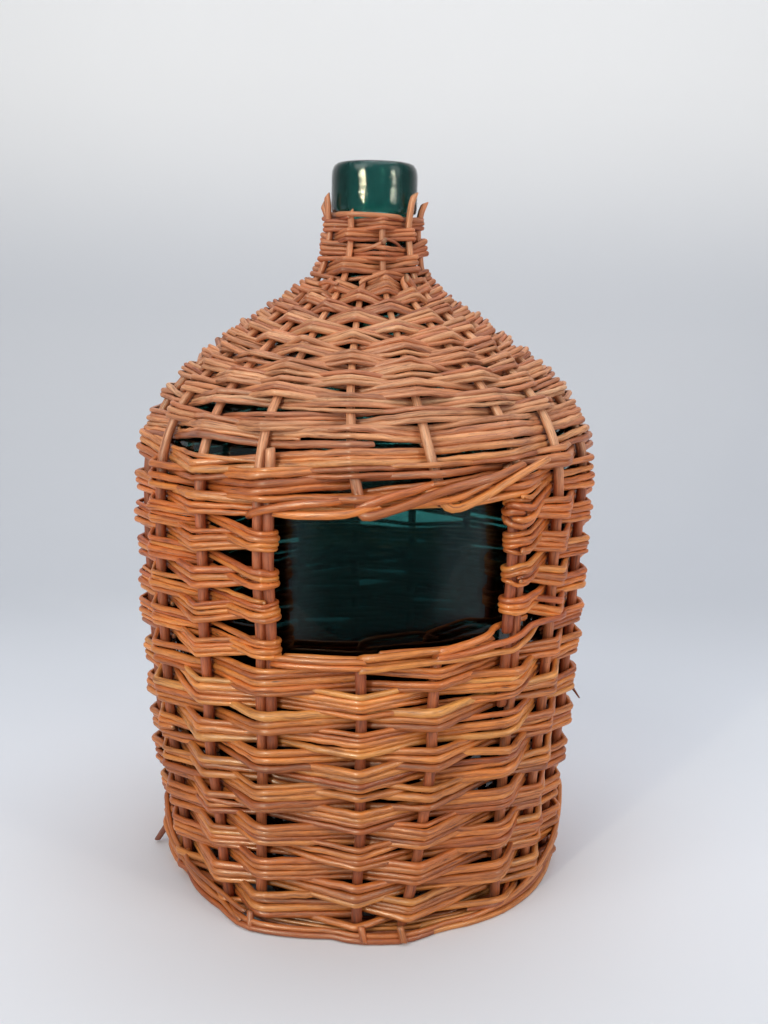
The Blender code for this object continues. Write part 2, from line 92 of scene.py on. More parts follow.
OUTSIDE = [
    (118.0, 0.0), (120.0, 45.0), (126.0, 98.0), (129.2, 157.0),
    (131.6, 229.0), (129.8, 248.0), (124.3, 264.0), (115.5, 278.0),
    (104.5, 289.0), (92.0, 298.5), (66.5, 316.0), (44.5, 331.0),
    (36.0, 339.5), (33.0, 348.5), (29.2, 374.5), (31.5, 383.5),
]
PATHS = {
    0: [(0, -62), (300, -60), (326, -59)],
    1: [(0, -39.5), (30, -41), (330, -42)],
    2: [(0, -28.2), (45, -26.6), (98, -25.0), (157, -24.7), (229, -24.4),
        (300, -24.6), (328, -25.5)],
    3: [(0, -0.2), (229, -0.3), (248, -3.0), (274, -4.4), (306, -6.2),
        (328, -8.4)],
    4: [(0, 11.2), (48, 15.6), (97, 17.5), (230, 17.6), (246, 15.4),
        (262, 14.2), (281, 12.9), (328, 12.2)],
    5: [(0, 41.8), (45, 41.4), (98, 39.6), (229, 38.9), (264, 36.4),
        (289, 34.6), (330, 31.0)],
    6: [(0, 57.0), (39, 55.6), (106, 53.6), (234, 53.4), (328, 53.0)],
    7: [(0, 74.0), (120, 71.5), (328, 71.5)],
    8: [(0, 92.0), (120, 90.0), (328, 89.5)],
}
BACK_FROM, BACK_TO = 90.0, 298.0
NECK_ANGLES = [-64.5, -27.6, 11.2, 50.4, 91.0, 132.0, 173.5, 215.0, 254.5]


# ---------------------------------------------------------------- small maths
def lerp(a, b, f):
    return a + (b - a) * f


def clamp(x, a=0.0, b=1.0):
    return min(b, max(a, x))


def table(points, x):
    if x <= points[0][0]:
        return points[0][1]
    for (x0, y0), (x1, y1) in zip(points, points[1:]):
        if x <= x1:
            return lerp(y0, y1, (x - x0) / (x1 - x0))
    return points[-1][1]


def around(radius, height, degrees):
    a = math.radians(degrees)
    return np.array((radius * math.sin(a), -radius * math.cos(a), height))


def taper(z):
    return clamp((z - 235.0) / 100.0)


def stake_radius(z):
    """Radius of the stakes' own space; the sticks fill most of it."""
    return lerp(STAKE_R_FOOT, STAKE_R_NECK, taper(z))


def stick_radius(z):
    return stake_radius(z) * table([(240, 0.93), (262, 0.90), (318, 0.93),
                                    (338, 1.10), (352, 1.15)], z)


def rod_thickness(z):
    return lerp(ROD_T_BODY, ROD_T_NECK, taper(z))


def unit(v):
    return v / max(1e-9, float(np.linalg.norm(v)))


# ----------------------------------------------- the line the stakes stand on
def smooth_meridian(points, sigma):
    p = np.array(points, float)
    s = np.concatenate([[0], np.cumsum(np.hypot(*np.diff(p, axis=0).T))])
    step = 0.5
    g = np.arange(-40.0, s[-1] + 40.0, step)
    head, tail = unit(p[1] - p[0]), unit(p[-1] - p[-2])
    r = np.interp(g, s, p[:, 0])
    z = np.interp(g, s, p[:, 1])
    low, high = g < 0, g > s[-1]
    r[low], z[low] = p[0, 0] + head[0] * g[low], p[0, 1] + head[1] * g[low]
    r[high] = p[-1, 0] + tail[0] * (g[high] - s[-1])
    z[high] = p[-1, 1] + tail[1] * (g[high] - s[-1])
    k = np.exp(-0.5 * (np.arange(-40, 41) * step / sigma) ** 2)
    k /= k.sum()
    r2 = np.convolve(r, k, "same")
    z2 = np.convolve(z, k, "same")
    keep = (g >= -12.0) & (g <= s[-1] + 12.0)
    return np.stack([r2[keep], z2[keep]], 1)


def normals(rz):
    t = np.gradient(rz, axis=0)
    t /= np.linalg.norm(t, axis=1)[:, None]
    return np.stack([t[:, 1], -t[:, 0]], 1)


class Meridian:
    """Arc length in; radius, height and outward normal out."""

    STEP = 0.25

    def __init__(self, rz):
        s = np.concatenate([[0], np.cumsum(np.hypot(*np.diff(rz, axis=0).T))])
        zero = float(np.interp(0.0, rz[:, 1], s))
        s = s - zero
        self.first = float(s[0])
        g = np.arange(s[0], s[-1], self.STEP)
        r = np.interp(g, s, rz[:, 0])
        z = np.interp(g, s, rz[:, 1])
        n = normals(np.stack([r, z], 1))
        self.rows = np.stack([r, z, n[:, 0], n[:, 1]], 1)
        self.heights = z
        self.grid = g

    def at(self, s):
        x = (s - self.first) / self.STEP
        i = int(clamp(x, 0, len(self.rows) - 2))
        f = x - i
        return self.rows[i] * (1 - f) + self.rows[i + 1] * f

    def s_of(self, z):
        return float(np.interp(z, self.heights, self.grid))


def stake_line():
    rz = smooth_meridian(OUTSIDE, 5.0)
    n = normals(rz)
    d = np.array([stake_radius(z) + rod_thickness(z)
                  + lerp(0.75, 0.95, taper(z)) for z in rz[:, 1]])
    return Meridian(rz - n * d[:, None])


LINE = stake_line()
S_OF = LINE.s_of


def plain_angle(i, z):
    if i in PATHS:
        low = table(PATHS[i], z)
    else:
        low = lerp(BACK_FROM, BACK_TO - 18.6, (i - 8) / 10.0)
    if i % 2 == 0 and i < 2 * NECK_STAKES and z > 300.0:
        return lerp(low, NECK_ANGLES[i // 2], min(1.0, (z - 300.0) / 36.0))
    if i in (17, 18) and z > 300.0:
        low = lerp(low, {17: 273.0, 18: 287.0}[i], clamp((z - 300.0) / 36.0))
    elif i not in PATHS and z > 300.0:
        goal = (NECK_ANGLES[i // 2] + NECK_ANGLES[i // 2 + 1]) / 2.0
        low = lerp(low, goal, clamp((z - 300.0) / 36.0))
    return low


def stake_angle(i, z):
    """Degrees of stake i at height z, with the small wander of real sticks."""
    a = 0.25 * (plain_angle(i, z - 9.0) + 2.0 * plain_angle(i, z)
                + plain_angle(i, z + 9.0))
    wander = (0.55 * math.sin(z / 31.0 + i * 1.7)
              + 0.3 * math.sin(z / 11.0 + i * 2.9)) * (1 - 0.6 * taper(z))
    return a + math.degrees(wander / 110.0)


# the basket is a little fuller on its left side and flatter on its right
LEFT_FULL = [(0, 0.0), (20, 1.6), (45, 3.2), (120, 3.4), (200, 3.2),
             (232, 1.8), (260, 0.6), (285, 2.0), (303, 4.2), (322, 3.6),
             (338, 0.8), (350, 0.0)]
RIGHT_FULL = [(0, 0.0), (60, -0.5), (150, -0.9), (220, -0.9), (250, -0.2),
              (290, 0.4), (306, 0.0), (318, -2.0), (328, -3.0), (336, -2.8),
              (343, -1.2), (350, 0.0)]


def fullness(z, degrees):
    x = math.sin(math.radians(degrees))
    side = LEFT_FULL if x < 0 else RIGHT_FULL
    neck = clamp((z - 330.0) / 16.0)
    # the collar sits a little to the left of the glass
    return table(side, z) * abs(x) ** 1.5 - neck * (1.0 + 0.9 * x)


def on_stake(i, s, off=0.0, shift=0.0):
    r, z, nr, nz = LINE.at(s)
    a = stake_angle(i, z) + math.degrees(shift / max(r, 1.0))
    return around(r + nr * off + fullness(z, a), z + nz * off, a)


def on_skin(degrees, s, off=0.0):
    r, z, nr, nz = LINE.at(s)
    return around(r + nr * off + fullness(z, degrees), z + nz * off, degrees)


def tilt(s, degrees):
    z = LINE.at(s)[1]
    w = clamp(z / 110.0) * clamp((325.0 - z) / 60.0)
    return ROW_TILT * w * math.sin(math.radians(degrees))


# ------------------------------------------------------------- tubes to meshes
class Stick:
    """One rod: centre points and radii along it, and its looks."""

    def __init__(self, points, radii, tone=None, slant=(0.0, 0.0), red=None,
                 sides=9, offset=None):
        self.p = np.asarray(points, float)
        self.r = np.asarray(radii, float)
        self.tone = float(rng.random()) if tone is None else tone
        self.red = float(rng.random()) if red is None else red
        self.slant = slant
        self.sides = sides
        self.offset = float(rng.random() * 900.0) if offset is None else offset


def frames_along(p):
    t = np.gradient(p, axis=0)
    t /= np.maximum(1e-9, np.linalg.norm(t, axis=1))[:, None]
    u = np.zeros_like(p)
    first = np.array((0.0, 0.0, 1.0))
    if abs(t[0] @ first) > 0.9:
        first = np.array((1.0, 0.0, 0.0))
    a = unit(first - t[0] * (first @ t[0]))
    u[0] = a
    for k in range(1, len(p)):
        a = a - t[k] * (a @ t[k])
        a = a / max(1e-9, math.sqrt(a @ a))
        u[k] = a
    v = np.cross(t, u)
    return t, u, v


def build(name, sticks, material, smooth=True):
    """All sticks of one piece in one mesh, each a closed tube."""
    verts, co, tone, red, cut, inside = [], [], [], [], [], []
    loops, totals = [], []
    base = 0
    for st in sticks:
        p, r, n = st.p, st.r, st.sides
        t, u, v = frames_along(p)
        m = len(p)
        phi = np.arange(n) * 2 * math.pi / n
        along = np.concatenate([[0], np.cumsum(
            np.linalg.norm(np.diff(p, axis=0), axis=1))]) + st.offset
        c, s = np.cos(phi), np.sin(phi)
        # body rings plus a small bevel ring at each end
        index = np.concatenate([[0], np.arange(m), [m - 1]])
        scale = np.ones(m + 2)
        scale[0] = scale[-1] = 0.78
        push = np.zeros(m + 2)
        push[0], push[-1] = -0.28 * r[0], 0.28 * r[-1]
        rr = (r[index] * scale)[:, None]
        ring = (p[index][:, None, :]
                + u[index][:, None, :] * (c * rr)[:, :, None]
                + v[index][:, None, :] * (s * rr)[:, :, None]
                + t[index][:, None, :] * push[:, None, None])
        for end, k in ((0, st.slant[0]), (1, st.slant[1])):
            if k:
                rows = (0, 1) if end == 0 else (-1, -2)
                tt = t[0] if end == 0 else t[-1]
                for q in rows:
                    ring[q] += tt * (k * c * rr[q])[:, None]
        verts.append(ring.reshape(-1, 3))
        a = along[index] + push
        co.append(np.stack([np.repeat(a, n), (c * rr).ravel(),
                            (s * rr).ravel()], 1))
        tone.append(np.full((m + 2) * n, st.tone))
        red.append(np.full((m + 2) * n, st.red))
        w = np.zeros((m + 2, n))
        w[0] = w[-1] = 1.0
        cut.append(w.ravel())
        # how far each side faces the axis of the bottle; the material darkens
        # these sides as painted shade
        out = p[index][:, :2] / np.maximum(
            1.0, np.linalg.norm(p[index][:, :2], axis=1))[:, None]
        face = (u[index][:, None, :2] * c[None, :, None]
                + v[index][:, None, :2] * s[None, :, None])
        inside.append(np.clip(-(face * out[:, None, :]).sum(-1), 0.0,
                              1.0).ravel())
        rows = m + 2
        i0 = base + (np.arange(rows - 1)[:, None] * n + np.arange(n)[None, :])
        i1 = base + (np.arange(rows - 1)[:, None] * n
                     + (np.arange(n)[None, :] + 1) % n)
        quads = np.stack([i0, i1, i1 + n, i0 + n], -1).reshape(-1, 4)
        loops.append(quads.ravel())
        totals.append(np.full(len(quads), 4))
        loops.append(base + np.arange(n)[::-1])
        totals.append(np.array([n]))
        loops.append(base + (rows - 1) * n + np.arange(n))
        totals.append(np.array([n]))
        base += rows * n
    verts = np.concatenate(verts) * MM
    loops = np.concatenate(loops).astype(np.int32)
    totals = np.concatenate(totals).astype(np.int32)
    starts = np.concatenate([[0], np.cumsum(totals)[:-1]]).astype(np.int32)
    mesh = bpy.data.meshes.new(name)
    mesh.vertices.add(len(verts))
    mesh.vertices.foreach_set("co", verts.ravel())
    mesh.loops.add(len(loops))
    mesh.loops.foreach_set("vertex_index", loops)
    mesh.polygons.add(len(totals))
    mesh.polygons.foreach_set("loop_start", starts)
    mesh.polygons.foreach_set("loop_total", totals)
    mesh.polygons.foreach_set("use_smooth", np.full(len(totals), smooth))
    mesh.update(calc_edges=True)
    mesh.validate()
    at = mesh.attributes.new("rod_co", "FLOAT_VECTOR", "POINT")
    at.data.foreach_set("vector", np.concatenate(co).astype(np.float32).ravel())
    for key, val in (("rod_tone", tone), ("rod_red", red), ("rod_cut", cut),
                     ("rod_inner_shade", inside)):
        at = mesh.attributes.new(key, "FLOAT", "POINT")
        at.data.foreach_set("value", np.concatenate(val).astype(np.float32))
    mesh.materials.append(material)
    ob = bpy.data.objects.new(name, mesh)
    bpy.context.scene.collection.objects.link(ob)
    return ob


def place(ob, slot, *nodes):
    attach(ob, "root")
    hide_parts(*nodes)
    return ob


def smooth_path(points, step=5.0):
    """Centripetal-like curve through the points, sampled about every step."""
    p = [np.asarray(q, float) for q in points]
    p = [2 * p[0] - p[1]] + p + [2 * p[-1] - p[-2]]
    out = []
    for a, b, c, d in zip(p, p[1:], p[2:], p[3:]):
        n = max(1, int(math.ceil(np.linalg.norm(c - b) / step)))
        for k in range(n):
            u = k / n
            out.append(0.5 * (2 * b + (c - a) * u
                              + (2 * a - 5 * b + 4 * c - d) * u * u
                              + (3 * b - a - 3 * c + d) * u ** 3))
    out.append(p[-2])
    return np.array(out)


# ----------------------------------------------------------------- the weaving
class Stop:
    """Where a row of rods passes one stake: in front (+1) or behind (-1),
    between two heights along the stake line."""

    def __init__(self, i, shift, sign, lo, hi, theta=None, towards=0):
        self.i, self.shift, self.sign = i, shift, sign
        self.lo, self.hi = lo, hi
        self.theta, self.towards = theta, towards
        mid = (lo + hi) / 2.0
        self.r, self.z = LINE.at(mid)[:2]

    def point(self, f, rod_r, extra):
        """f runs 0..1 across the row's height."""
        s = lerp(self.lo, self.hi, f)
        rs = stick_radius(self.z)
        if self.theta is not None:
            reach = rs + rod_r + 0.15
            return on_stake(self.i, s, reach * math.cos(self.theta),
                            self.shift + self.towards * (reach - 0.45)
                            * math.sin(self.theta))
        if self.sign > 0:
            off = rs + rod_r + extra
        else:
            off = -(rs + rod_r + extra)
        # a taut rod runs straighter than the slope it lies on
        _, z, nr, nz = LINE.at(s)
        share = lerp(0.30, 0.12, clamp((z - 280.0) / 25.0))
        s -= share * off * clamp(nz / max(nr, 0.2), -0.4, 1.3)
        return on_stake(self.i, s, off, self.shift)


def stations():
    out = []
    for i in range(STAKES):
        if i == 5:
            out.append((i, -1, i))
        out.append((i, 0, i))
        if i == 2:
            out.append((i, 1, i))
    return out


def spiral_program(s0, s1, rise, stops, first_sign, level, turned=None):
    sliver = 1.9
    n = len(stops)
    edge = [s0] * n
    s = s0 + sliver
    while s < s1 - 1e-6:
        edge.append(s)
        s += rise(s) / n
    edge += [s1] * (n + 1)
    out, passes, last, k = [], 0, None, 0
    while True:
        low, high = edge[k], min(edge[k + n], s1)
        if high - low < sliver and k >= n:
            break
        i, side, tag = stops[k % n]
        if last is None or tag != last:
            passes += 1
        last = tag
        sign = first_sign * (1 if passes % 2 else -1)
        if turned is not None and low >= turned:
            sign = -sign
        a = stake_angle(i, LINE.at(low)[1])
        out.append(Stop(i, POST_SPACING * side, sign,
                        low + level(low, a), high + level(high, a)))
        k += 1
        if k + n >= len(edge):
            break
    return out


def window_program(s0, s1, rows):
    """Rows that run to and fro between the window's posts.  They reach each
    post on its inner side, turn round it tightly, leave over its front and
    climb back to their own height."""
    order = [st for st in stations() if st[2] >= 5] + \
            [st for st in stations() if st[2] <= 2]
    step = 1.0 / rows
    # two stakes at the back are passed as one, which keeps the beat
    pair = {13: 12}
    # how far the front run hangs below its row where it leaves a post
    hang_left = {1: 0.31, 3: 0.25, 5: 0.56, 7: 0.56}
    hang_right = {2: -0.25, 4: 0.06, 6: 0.32, 8: 0.62}
    lift_six = {1: -0.3, 3: -0.15, 5: -0.1}

    def edges(i, f0, f1, tight=1.0):
        a = stake_angle(i, 190.0)
        mid, half = (f0 + f1) / 2.0, (f1 - f0) / 2.0 * tight
        lo = lerp(s0 + tilt(s0, a), s1 + tilt(s1, a), mid - half)
        hi = lerp(s0 + tilt(s0, a), s1 + tilt(s1, a), mid + half)
        return lo, hi

    out = []
    for row in range(rows):
        forward = row % 2 == 0
        path = order if forward else list(reversed(order))
        passes, last = 0, None
        if row == 0:
            # the rods of the window's lower edge take the first place
            path, passes = path[2:], 1
        for q, (i, side, tag) in enumerate(path):
            tag = pair.get(tag, tag)
            if last is None or tag != last:
                passes += 1
            last = tag
            sign = 1 if passes % 2 == 1 else -1
            back = len(path) - 1 - q
            drop, tight = 0.0, 1.0
            if forward:
                if tag == 5:
                    drop, tight = hang_right.get(row, 0.0), 0.84
                elif row and q < 4:
                    drop = {2: -0.22, 3: -0.08}[q]
                if back < 2 and row + 1 in hang_left:
                    drop = hang_left[row + 1] - 0.90
                elif back == 2:
                    drop = -0.04
            else:
                if tag == 2:
                    drop, tight = hang_left[row], 0.88
                elif tag == 1:
                    drop = 0.10
                if back < 2:
                    drop = hang_right.get(row + 1, 0.4) - 0.90
                elif back == 2:
                    drop = lift_six.get(row, 0.0)
            lo, hi = edges(i, (row - drop) * step, (row + 1 - drop) * step,
                           tight)
            out.append(Stop(i, POST_SPACING * side, sign, lo, hi))
        if row < rows - 1:
            i, side, tag = path[-1]
            leave = 1.0 - (hang_left if forward else hang_right)[row + 1]
            for q in range(1, 4):
                f = q / 4.0
                theta = math.pi * (1.0 - f)
                g = lerp(leave - 0.08, leave, f)
                lo, hi = edges(i, (row + g) * step, (row + 1 + g) * step, 0.84)
                out.append(Stop(i, POST_SPACING * side, 1, lo, hi, theta,
                                1 if forward else -1))
    return out


def part_rows(prog, gaps):
    """Open small gaps between two rows: (angle, height, half width in
    degrees, opening)."""
    for a0, z0, half, wide in gaps:
        s0 = S_OF(z0)
        near = [st for st in prog if st.theta is None and
                abs(stake_angle(st.i, st.z) - a0) < half]
        for st in near:
            a = stake_angle(st.i, st.z)
            goal = s0 + tilt(s0, a) - tilt(s0, a0)
            edge = min((q.lo for q in near if q.i == st.i),
                       key=lambda lo: abs(lo - goal))
            w = wide * 0.5 * (1.0 - ((a - a0) / half) ** 2)
            mid = (st.lo + st.hi) / 2.0
            push = w * math.exp(-max(0.0, abs(mid - edge) - 5.0) / 11.0)
            push = push if mid > edge else -push
            st.lo, st.hi = st.lo + push, st.hi + push
    return prog


class Rod:
    def __init__(self, strand, a, b, r0, r1, tone, red):
        self.j, self.a, self.b = strand, a, b
        self.r0, self.r1, self.tone, self.red = r0, r1, tone, red
        self.at = {}

    def radius(self, k):
        f = clamp((k - self.a) / max(0.01, self.b - self.a))
        return lerp(self.r0, self.r1, f)


def pick_tone():
    x = rng.random()
    if x < 0.08:
        return rng.uniform(0.22, 0.34)
    if x > 0.95:
        return rng.uniform(0.66, 0.80)
    return clamp(rng.normal(0.51, 0.125))


def split_strand(j, k0, k1, dist, prog, mean, length, keep=1.0,
                 tucked=0.93, even=0.0):
    """The rods that follow one another along one strand."""
    rods = []
    a = float(k0) - 0.3
    thick_first = rng.random() < 0.5
    # the first rod is a part of one, so that the joins don't line up
    first = rng.uniform(0.35, 1.0)
    while True:
        here = float(np.interp(a, np.arange(len(dist)), dist))
        goal = here + rng.uniform(*length) * first
        first = 1.0
        b = float(np.interp(goal, dist, np.arange(len(dist))))
        done = b >= k1 - 3.5
        if done:
            b = k1 + 0.3
        else:
            m = int(b)
            want = -1 if rng.random() < tucked else 1
            for q in (m, m - 1, m + 1, m - 2):
                if 0 <= q < len(prog) and prog[q].sign == want \
                        and prog[q].theta is None:
                    m = q
                    break
            b = m + (rng.uniform(0.02, 0.075) if prog[m].sign < 0
                     else rng.uniform(0.12, 0.3))
        thick = mean * lerp(rng.uniform(1.14, 1.3), 1.06, even)
        thin = mean * lerp(rng.uniform(0.70, 0.84), 0.94, even)
        r0, r1 = (thick, thin) if thick_first else (thin, thick)
        rods.append(Rod(j, a, b, r0, r1, pick_tone(), rng.random()))
        if done:
            return [r for r in rods if rng.random() < keep]
        thick_first = not thick_first if rng.random() < 0.8 else thick_first
        start = int(b - rng.uniform(0.9, 2.0))
        for q in (start, start - 1, start + 1):
            if prog[q].sign < 0 and prog[q].theta is None:
                start = q
                break
        a = max(rods[-1].a + 1.0, start - rng.uniform(0.02, 0.075))


def weave(prog, strands, mean=None, length=(620.0, 1050.0), swap=0.035,
          sides=9, per_rod=3.35, fill=1.0, extra=0.0, jitter=0.022, even=0.0):
    """Lay the strands of a row program side by side and return the sticks."""
    n = len(prog)
    base = np.array([st.point(0.5, 1.5, 0.0) for st in prog])
    dist = np.concatenate([[0], np.cumsum(
        np.linalg.norm(np.diff(base, axis=0), axis=1))])
    heights = np.array([st.hi - st.lo for st in prog])
    room = np.clip(np.round(heights / per_rod), 1, strands)
    all_rods = []
    for j in range(strands):
        has = np.nonzero(room > j)[0]
        if len(has) < 4:
            continue
        all_rods += split_strand(j, int(has[0]), int(has[-1]), dist, prog,
                                 mean, length, even=even)
    if extra:
        # here and there a further, thinner rod lies in the row
        full = np.nonzero(heights > 0.8 * np.median(heights))[0]
        all_rods += split_strand(strands, int(full[0]), int(full[-1]), dist,
                                 prog, mean * 0.8, (260.0, 620.0), extra, 1.0)
        strands += 1
    order = list(range(strands))
    rng.shuffle(order)
    for k, st in enumerate(prog):
        span = dist[k] - dist[k - 1] if k else 0.0
        crossed = None
        if k and span > 11.0 and rng.random() < swap and strands > 1:
            q = int(rng.integers(0, strands - 1))
            order[q], order[q + 1] = order[q + 1], order[q]
            crossed = (order[q], order[q + 1])
        live = []
        for rod in all_rods:
            if rod.a - 1.01 <= k <= rod.b + 1.01:
                w = 1.0 if rod.a <= k <= rod.b else 0.3
                live.append((order.index(rod.j), rod.a, rod, w))
        live.sort(key=lambda q: (q[0], q[1]))
        if not live:
            continue
        height = max(0.5, st.hi - st.lo)
        spread = 1.0
        if st.theta is None:
            # side by side rods spread in front of a stake
            open_ = clamp((st.z - 258.0) / 8.0) * clamp((338.0 - st.z) / 6.0)
            spread = (lerp(1.17, 1.0, open_) if st.sign > 0
                      else lerp(0.93, 0.96, open_))
        room_here = height * spread * fill
        total = sum(2 * rod.radius(k) * w for _, _, rod, w in live)
        squeeze = room_here / total
        size = clamp(squeeze, 0.87, 1.15)
        if st.theta is not None:
            size = min(size, 0.93)
        used = total * clamp(squeeze, 0.80, 1.22)
        low = 0.5 - used / height / 2.0
        run = 0.0
        for q, (_, _, rod, w) in enumerate(live):
            d = 2 * rod.radius(k) * w / total
            f = low + (run + d / 2.0) * used / height
            run += d
            f += rng.normal(0.0, jitter) * (1 if st.theta is None else 0.3)
            stagger = max(0.0, 0.97 - squeeze) * 5.0 * (q % 2)
            rod.at[k] = (f, rod.radius(k) * size, stagger,
                         crossed is not None and rod.j in crossed,
                         1 if crossed and rod.j == crossed[0] else -1)
    sticks = []
    for rod in all_rods:
        sticks.append(rod_stick(rod, prog, dist, sides))
    return [s for s in sticks if s is not None]


def bend_length(span, z=0.0):
    """Length of the soft bend on each side of a stake, sharper high up."""
    return clamp(0.115 * span, 1.3, 2.3) * lerp(
        1.0, 0.65, clamp((z - 250.0) / 20.0))


def rod_stick(rod, prog, dist, sides):
    """The path of one rod past its stops, with soft bends at the stakes."""
    pts = {}
    rad = {}
    for k, (f, r, stagger, cross, way) in rod.at.items():
        st = prog[k]
        extra = stagger if st.sign > 0 else stagger * 0.4
        if st.theta is None:
            if st.sign > 0:
                before = dist[k] - dist[k - 1] if k else 30.0
                after = dist[k + 1] - dist[k] if k + 1 < len(dist) else 30.0
                span = (before + after) / 2.0
                bend = math.radians(9.5) + math.atan2(
                    2 * (stick_radius(st.z) + r), max(span, 12.0))
                slack = lerp(1.0, 0.45, clamp((st.z - 250.0) / 20.0))
                extra += 0.5 * bend_length(span, st.z) * math.sin(bend) + 0.1
                extra += slack * (0.30 + abs(rng.normal(0.0, 0.22)))
            else:
                extra += 0.15 + abs(rng.normal(0.0, 0.15))
        pts[k] = st.point(f, r, extra)
        rad[k] = r
    keys = sorted(pts)
    inner = [k for k in keys if rod.a <= k <= rod.b]
    if len(inner) < 2:
        return None
    guide, size, when = [], [], []

    def partial(x):
        k = int(math.floor(x))
        if k in pts and k + 1 in pts:
            f = x - k
            return lerp(pts[k], pts[k + 1], f), lerp(rad[k], rad[k + 1], f)
        return None

    head = partial(rod.a)
    if head:
        guide.append(head[0]); size.append(head[1]); when.append(rod.a)
    for k in inner:
        f, r, stagger, cross, way = rod.at[k]
        if cross and k - 1 in pts and k - 1 >= rod.a:
            mid = (pts[k - 1] + pts[k]) / 2.0
            out = unit(np.array((mid[0], mid[1], 0.0)))
            guide.append(mid + out * way * r * 1.02)
            size.append(r)
            when.append(k - 0.5)
        guide.append(pts[k]); size.append(r); when.append(float(k))
    tail = partial(rod.b)
    if tail:
        guide.append(tail[0]); size.append(tail[1]); when.append(rod.b)
    guide = np.array(guide)
    # springy free ends
    for end, other in ((0, 1), (-1, -2)):
        if head if end == 0 else tail:
            out = unit(np.array((guide[end][0], guide[end][1], 0.0)))
            k = inner[0] if end == 0 else inner[-1]
            if prog[k].sign > 0:
                guide[end] = guide[end] + out * rng.uniform(0.2, 1.0)
            guide[end][2] += rng.normal(0.0, 0.5)
    p, r = rounded(guide, size)
    if len(p) < 4:
        return None
    # the tips narrow a little
    run = np.concatenate([[0], np.cumsum(
        np.linalg.norm(np.diff(p, axis=0), axis=1))])
    r = r * (1.0 - 0.30 * np.exp(-run / 3.0)
             - 0.30 * np.exp(-(run[-1] - run) / 3.0))
    return Stick(p, r, rod.tone, (rng.uniform(-0.9, 0.9),
                                  rng.uniform(-0.9, 0.9)), rod.red, sides)


def rounded(guide, size, delta=None, step=7.0, noise=0.12):
    """Straight runs with rounded bends through the guide points, with the
    small wobble, swellings and knots of a willow rod."""
    pts, rad = [guide[0]], [size[0]]

    def run_to(q, r):
        a = pts[-1]
        length = float(np.linalg.norm(q - a))
        n = int(length / step)
        t = unit(q - a)
        side = np.cross(t, (0.0, 0.0, 1.0))
        r0 = rad[-1]
        for m in range(1, n + 1):
            f = m / (n + 1.0)
            w = side * rng.normal(0.0, noise)
            w = w + np.array((0.0, 0.0, rng.normal(0.0, noise * 1.3)))
            pts.append(lerp(a, q, f) + w)
            rad.append(lerp(r0, r, f))

    for m in range(1, len(guide) - 1):
        g = guide[m]
        u, v = guide[m] - guide[m - 1], guide[m + 1] - guide[m]
        lu, lv = float(np.linalg.norm(u)), float(np.linalg.norm(v))
        if lu < 1e-6 or lv < 1e-6:
            continue
        short = min(lu, lv)
        if delta is not None:
            d = min(delta, 0.42 * short)
        elif short < 9.0:
            d = 0.42 * short
        else:
            d = min(bend_length((lu + lv) / 2.0, g[2]), 0.42 * short)
        a, b = g - u / lu * d, g + v / lv * d
        run_to(a, size[m])
        for t in (0.0, 0.25, 0.5, 0.75, 1.0):
            q = (1 - t) ** 2 * a + 2 * t * (1 - t) * g + t * t * b
            if np.linalg.norm(q - pts[-1]) > 0.25:
                pts.append(q)
                rad.append(size[m])
    run_to(guide[-1], size[-1])
    pts.append(guide[-1])
    rad.append(size[-1])
    pts, rad = np.array(pts), np.array(rad)
    rad = rad * (1 + np.clip(rng.normal(0.0, 0.022, len(rad)), -0.05, 0.05))
    # knots: short swellings every so often
    for q in range(len(rad)):
        if rng.random() < 0.03:
            rad[q] *= rng.uniform(1.07, 1.17)
    return pts, rad


# ------------------------------------------------------------------- materials
def nodes_of(name):
    mat = bpy.data.materials.new(name)
    mat.use_nodes = True
    tree = mat.node_tree
    return mat, tree, tree.nodes["Principled BSDF"]


class Graph:
    """Short hands for making and joining shader nodes."""

    def __init__(self, tree):
        self.t = tree

    def new(self, kind, **settings):
        n = self.t.nodes.new(kind)
        for k, v in settings.items():
            setattr(n, k, v)
        return n

    def link(self, a, b):
        self.t.links.new(a, b)

    def attribute(self, name):
        n = self.new("ShaderNodeAttribute", attribute_type="GEOMETRY")
        n.attribute_name = name
        return n

    def stretch(self, vector, scale):
        n = self.new("ShaderNodeVectorMath", operation="MULTIPLY")
        self.link(vector, n.inputs[0])
        n.inputs[1].default_value = scale
        return n.outputs[0]

    def noise(self, vector, scale, detail=2.0, rough=0.5):
        n = self.new("ShaderNodeTexNoise")
        self.link(vector, n.inputs["Vector"])
        n.inputs["Scale"].default_value = scale
        n.inputs["Detail"].default_value = detail
        n.inputs["Roughness"].default_value = rough
        return n.outputs["Fac"]

    def ramp(self, value, stops, interpolation="LINEAR"):
        n = self.new("ShaderNodeValToRGB")
        n.color_ramp.interpolation = interpolation
        e = n.color_ramp.elements
        while len(e) > 1:
            e.remove(e[-1])
        for q, (pos, col) in enumerate(stops):
            item = e[0] if q == 0 else e.new(pos)
            item.position = pos
            if isinstance(col, (int, float)):
                col = (col, col, col)
            item.color = (*col, 1.0)
        self.link(value, n.inputs["Fac"])
        return n.outputs["Color"]

    def mix(self, kind, fac, a, b):
        n = self.new("ShaderNodeMix", data_type="RGBA", blend_type=kind)
        for value, socket in ((fac, n.inputs[0]), (a, n.inputs[6]),
                              (b, n.inputs[7])):
            if isinstance(value, (int, float)):
                socket.default_value = value
            elif isinstance(value, tuple):
                socket.default_value = (*value, 1.0)
            else:
                self.link(value, socket)
        return n.outputs[2]

    def maths(self, op, a, b=None):
        n = self.new("ShaderNodeMath", operation=op)
        for value, socket in ((a, n.inputs[0]), (b, n.inputs[1])):
            if value is None:
                continue
            if isinstance(value, (int, float)):
                socket.default_value = value
            else:
                self.link(value, socket)
        return n.outputs[0]


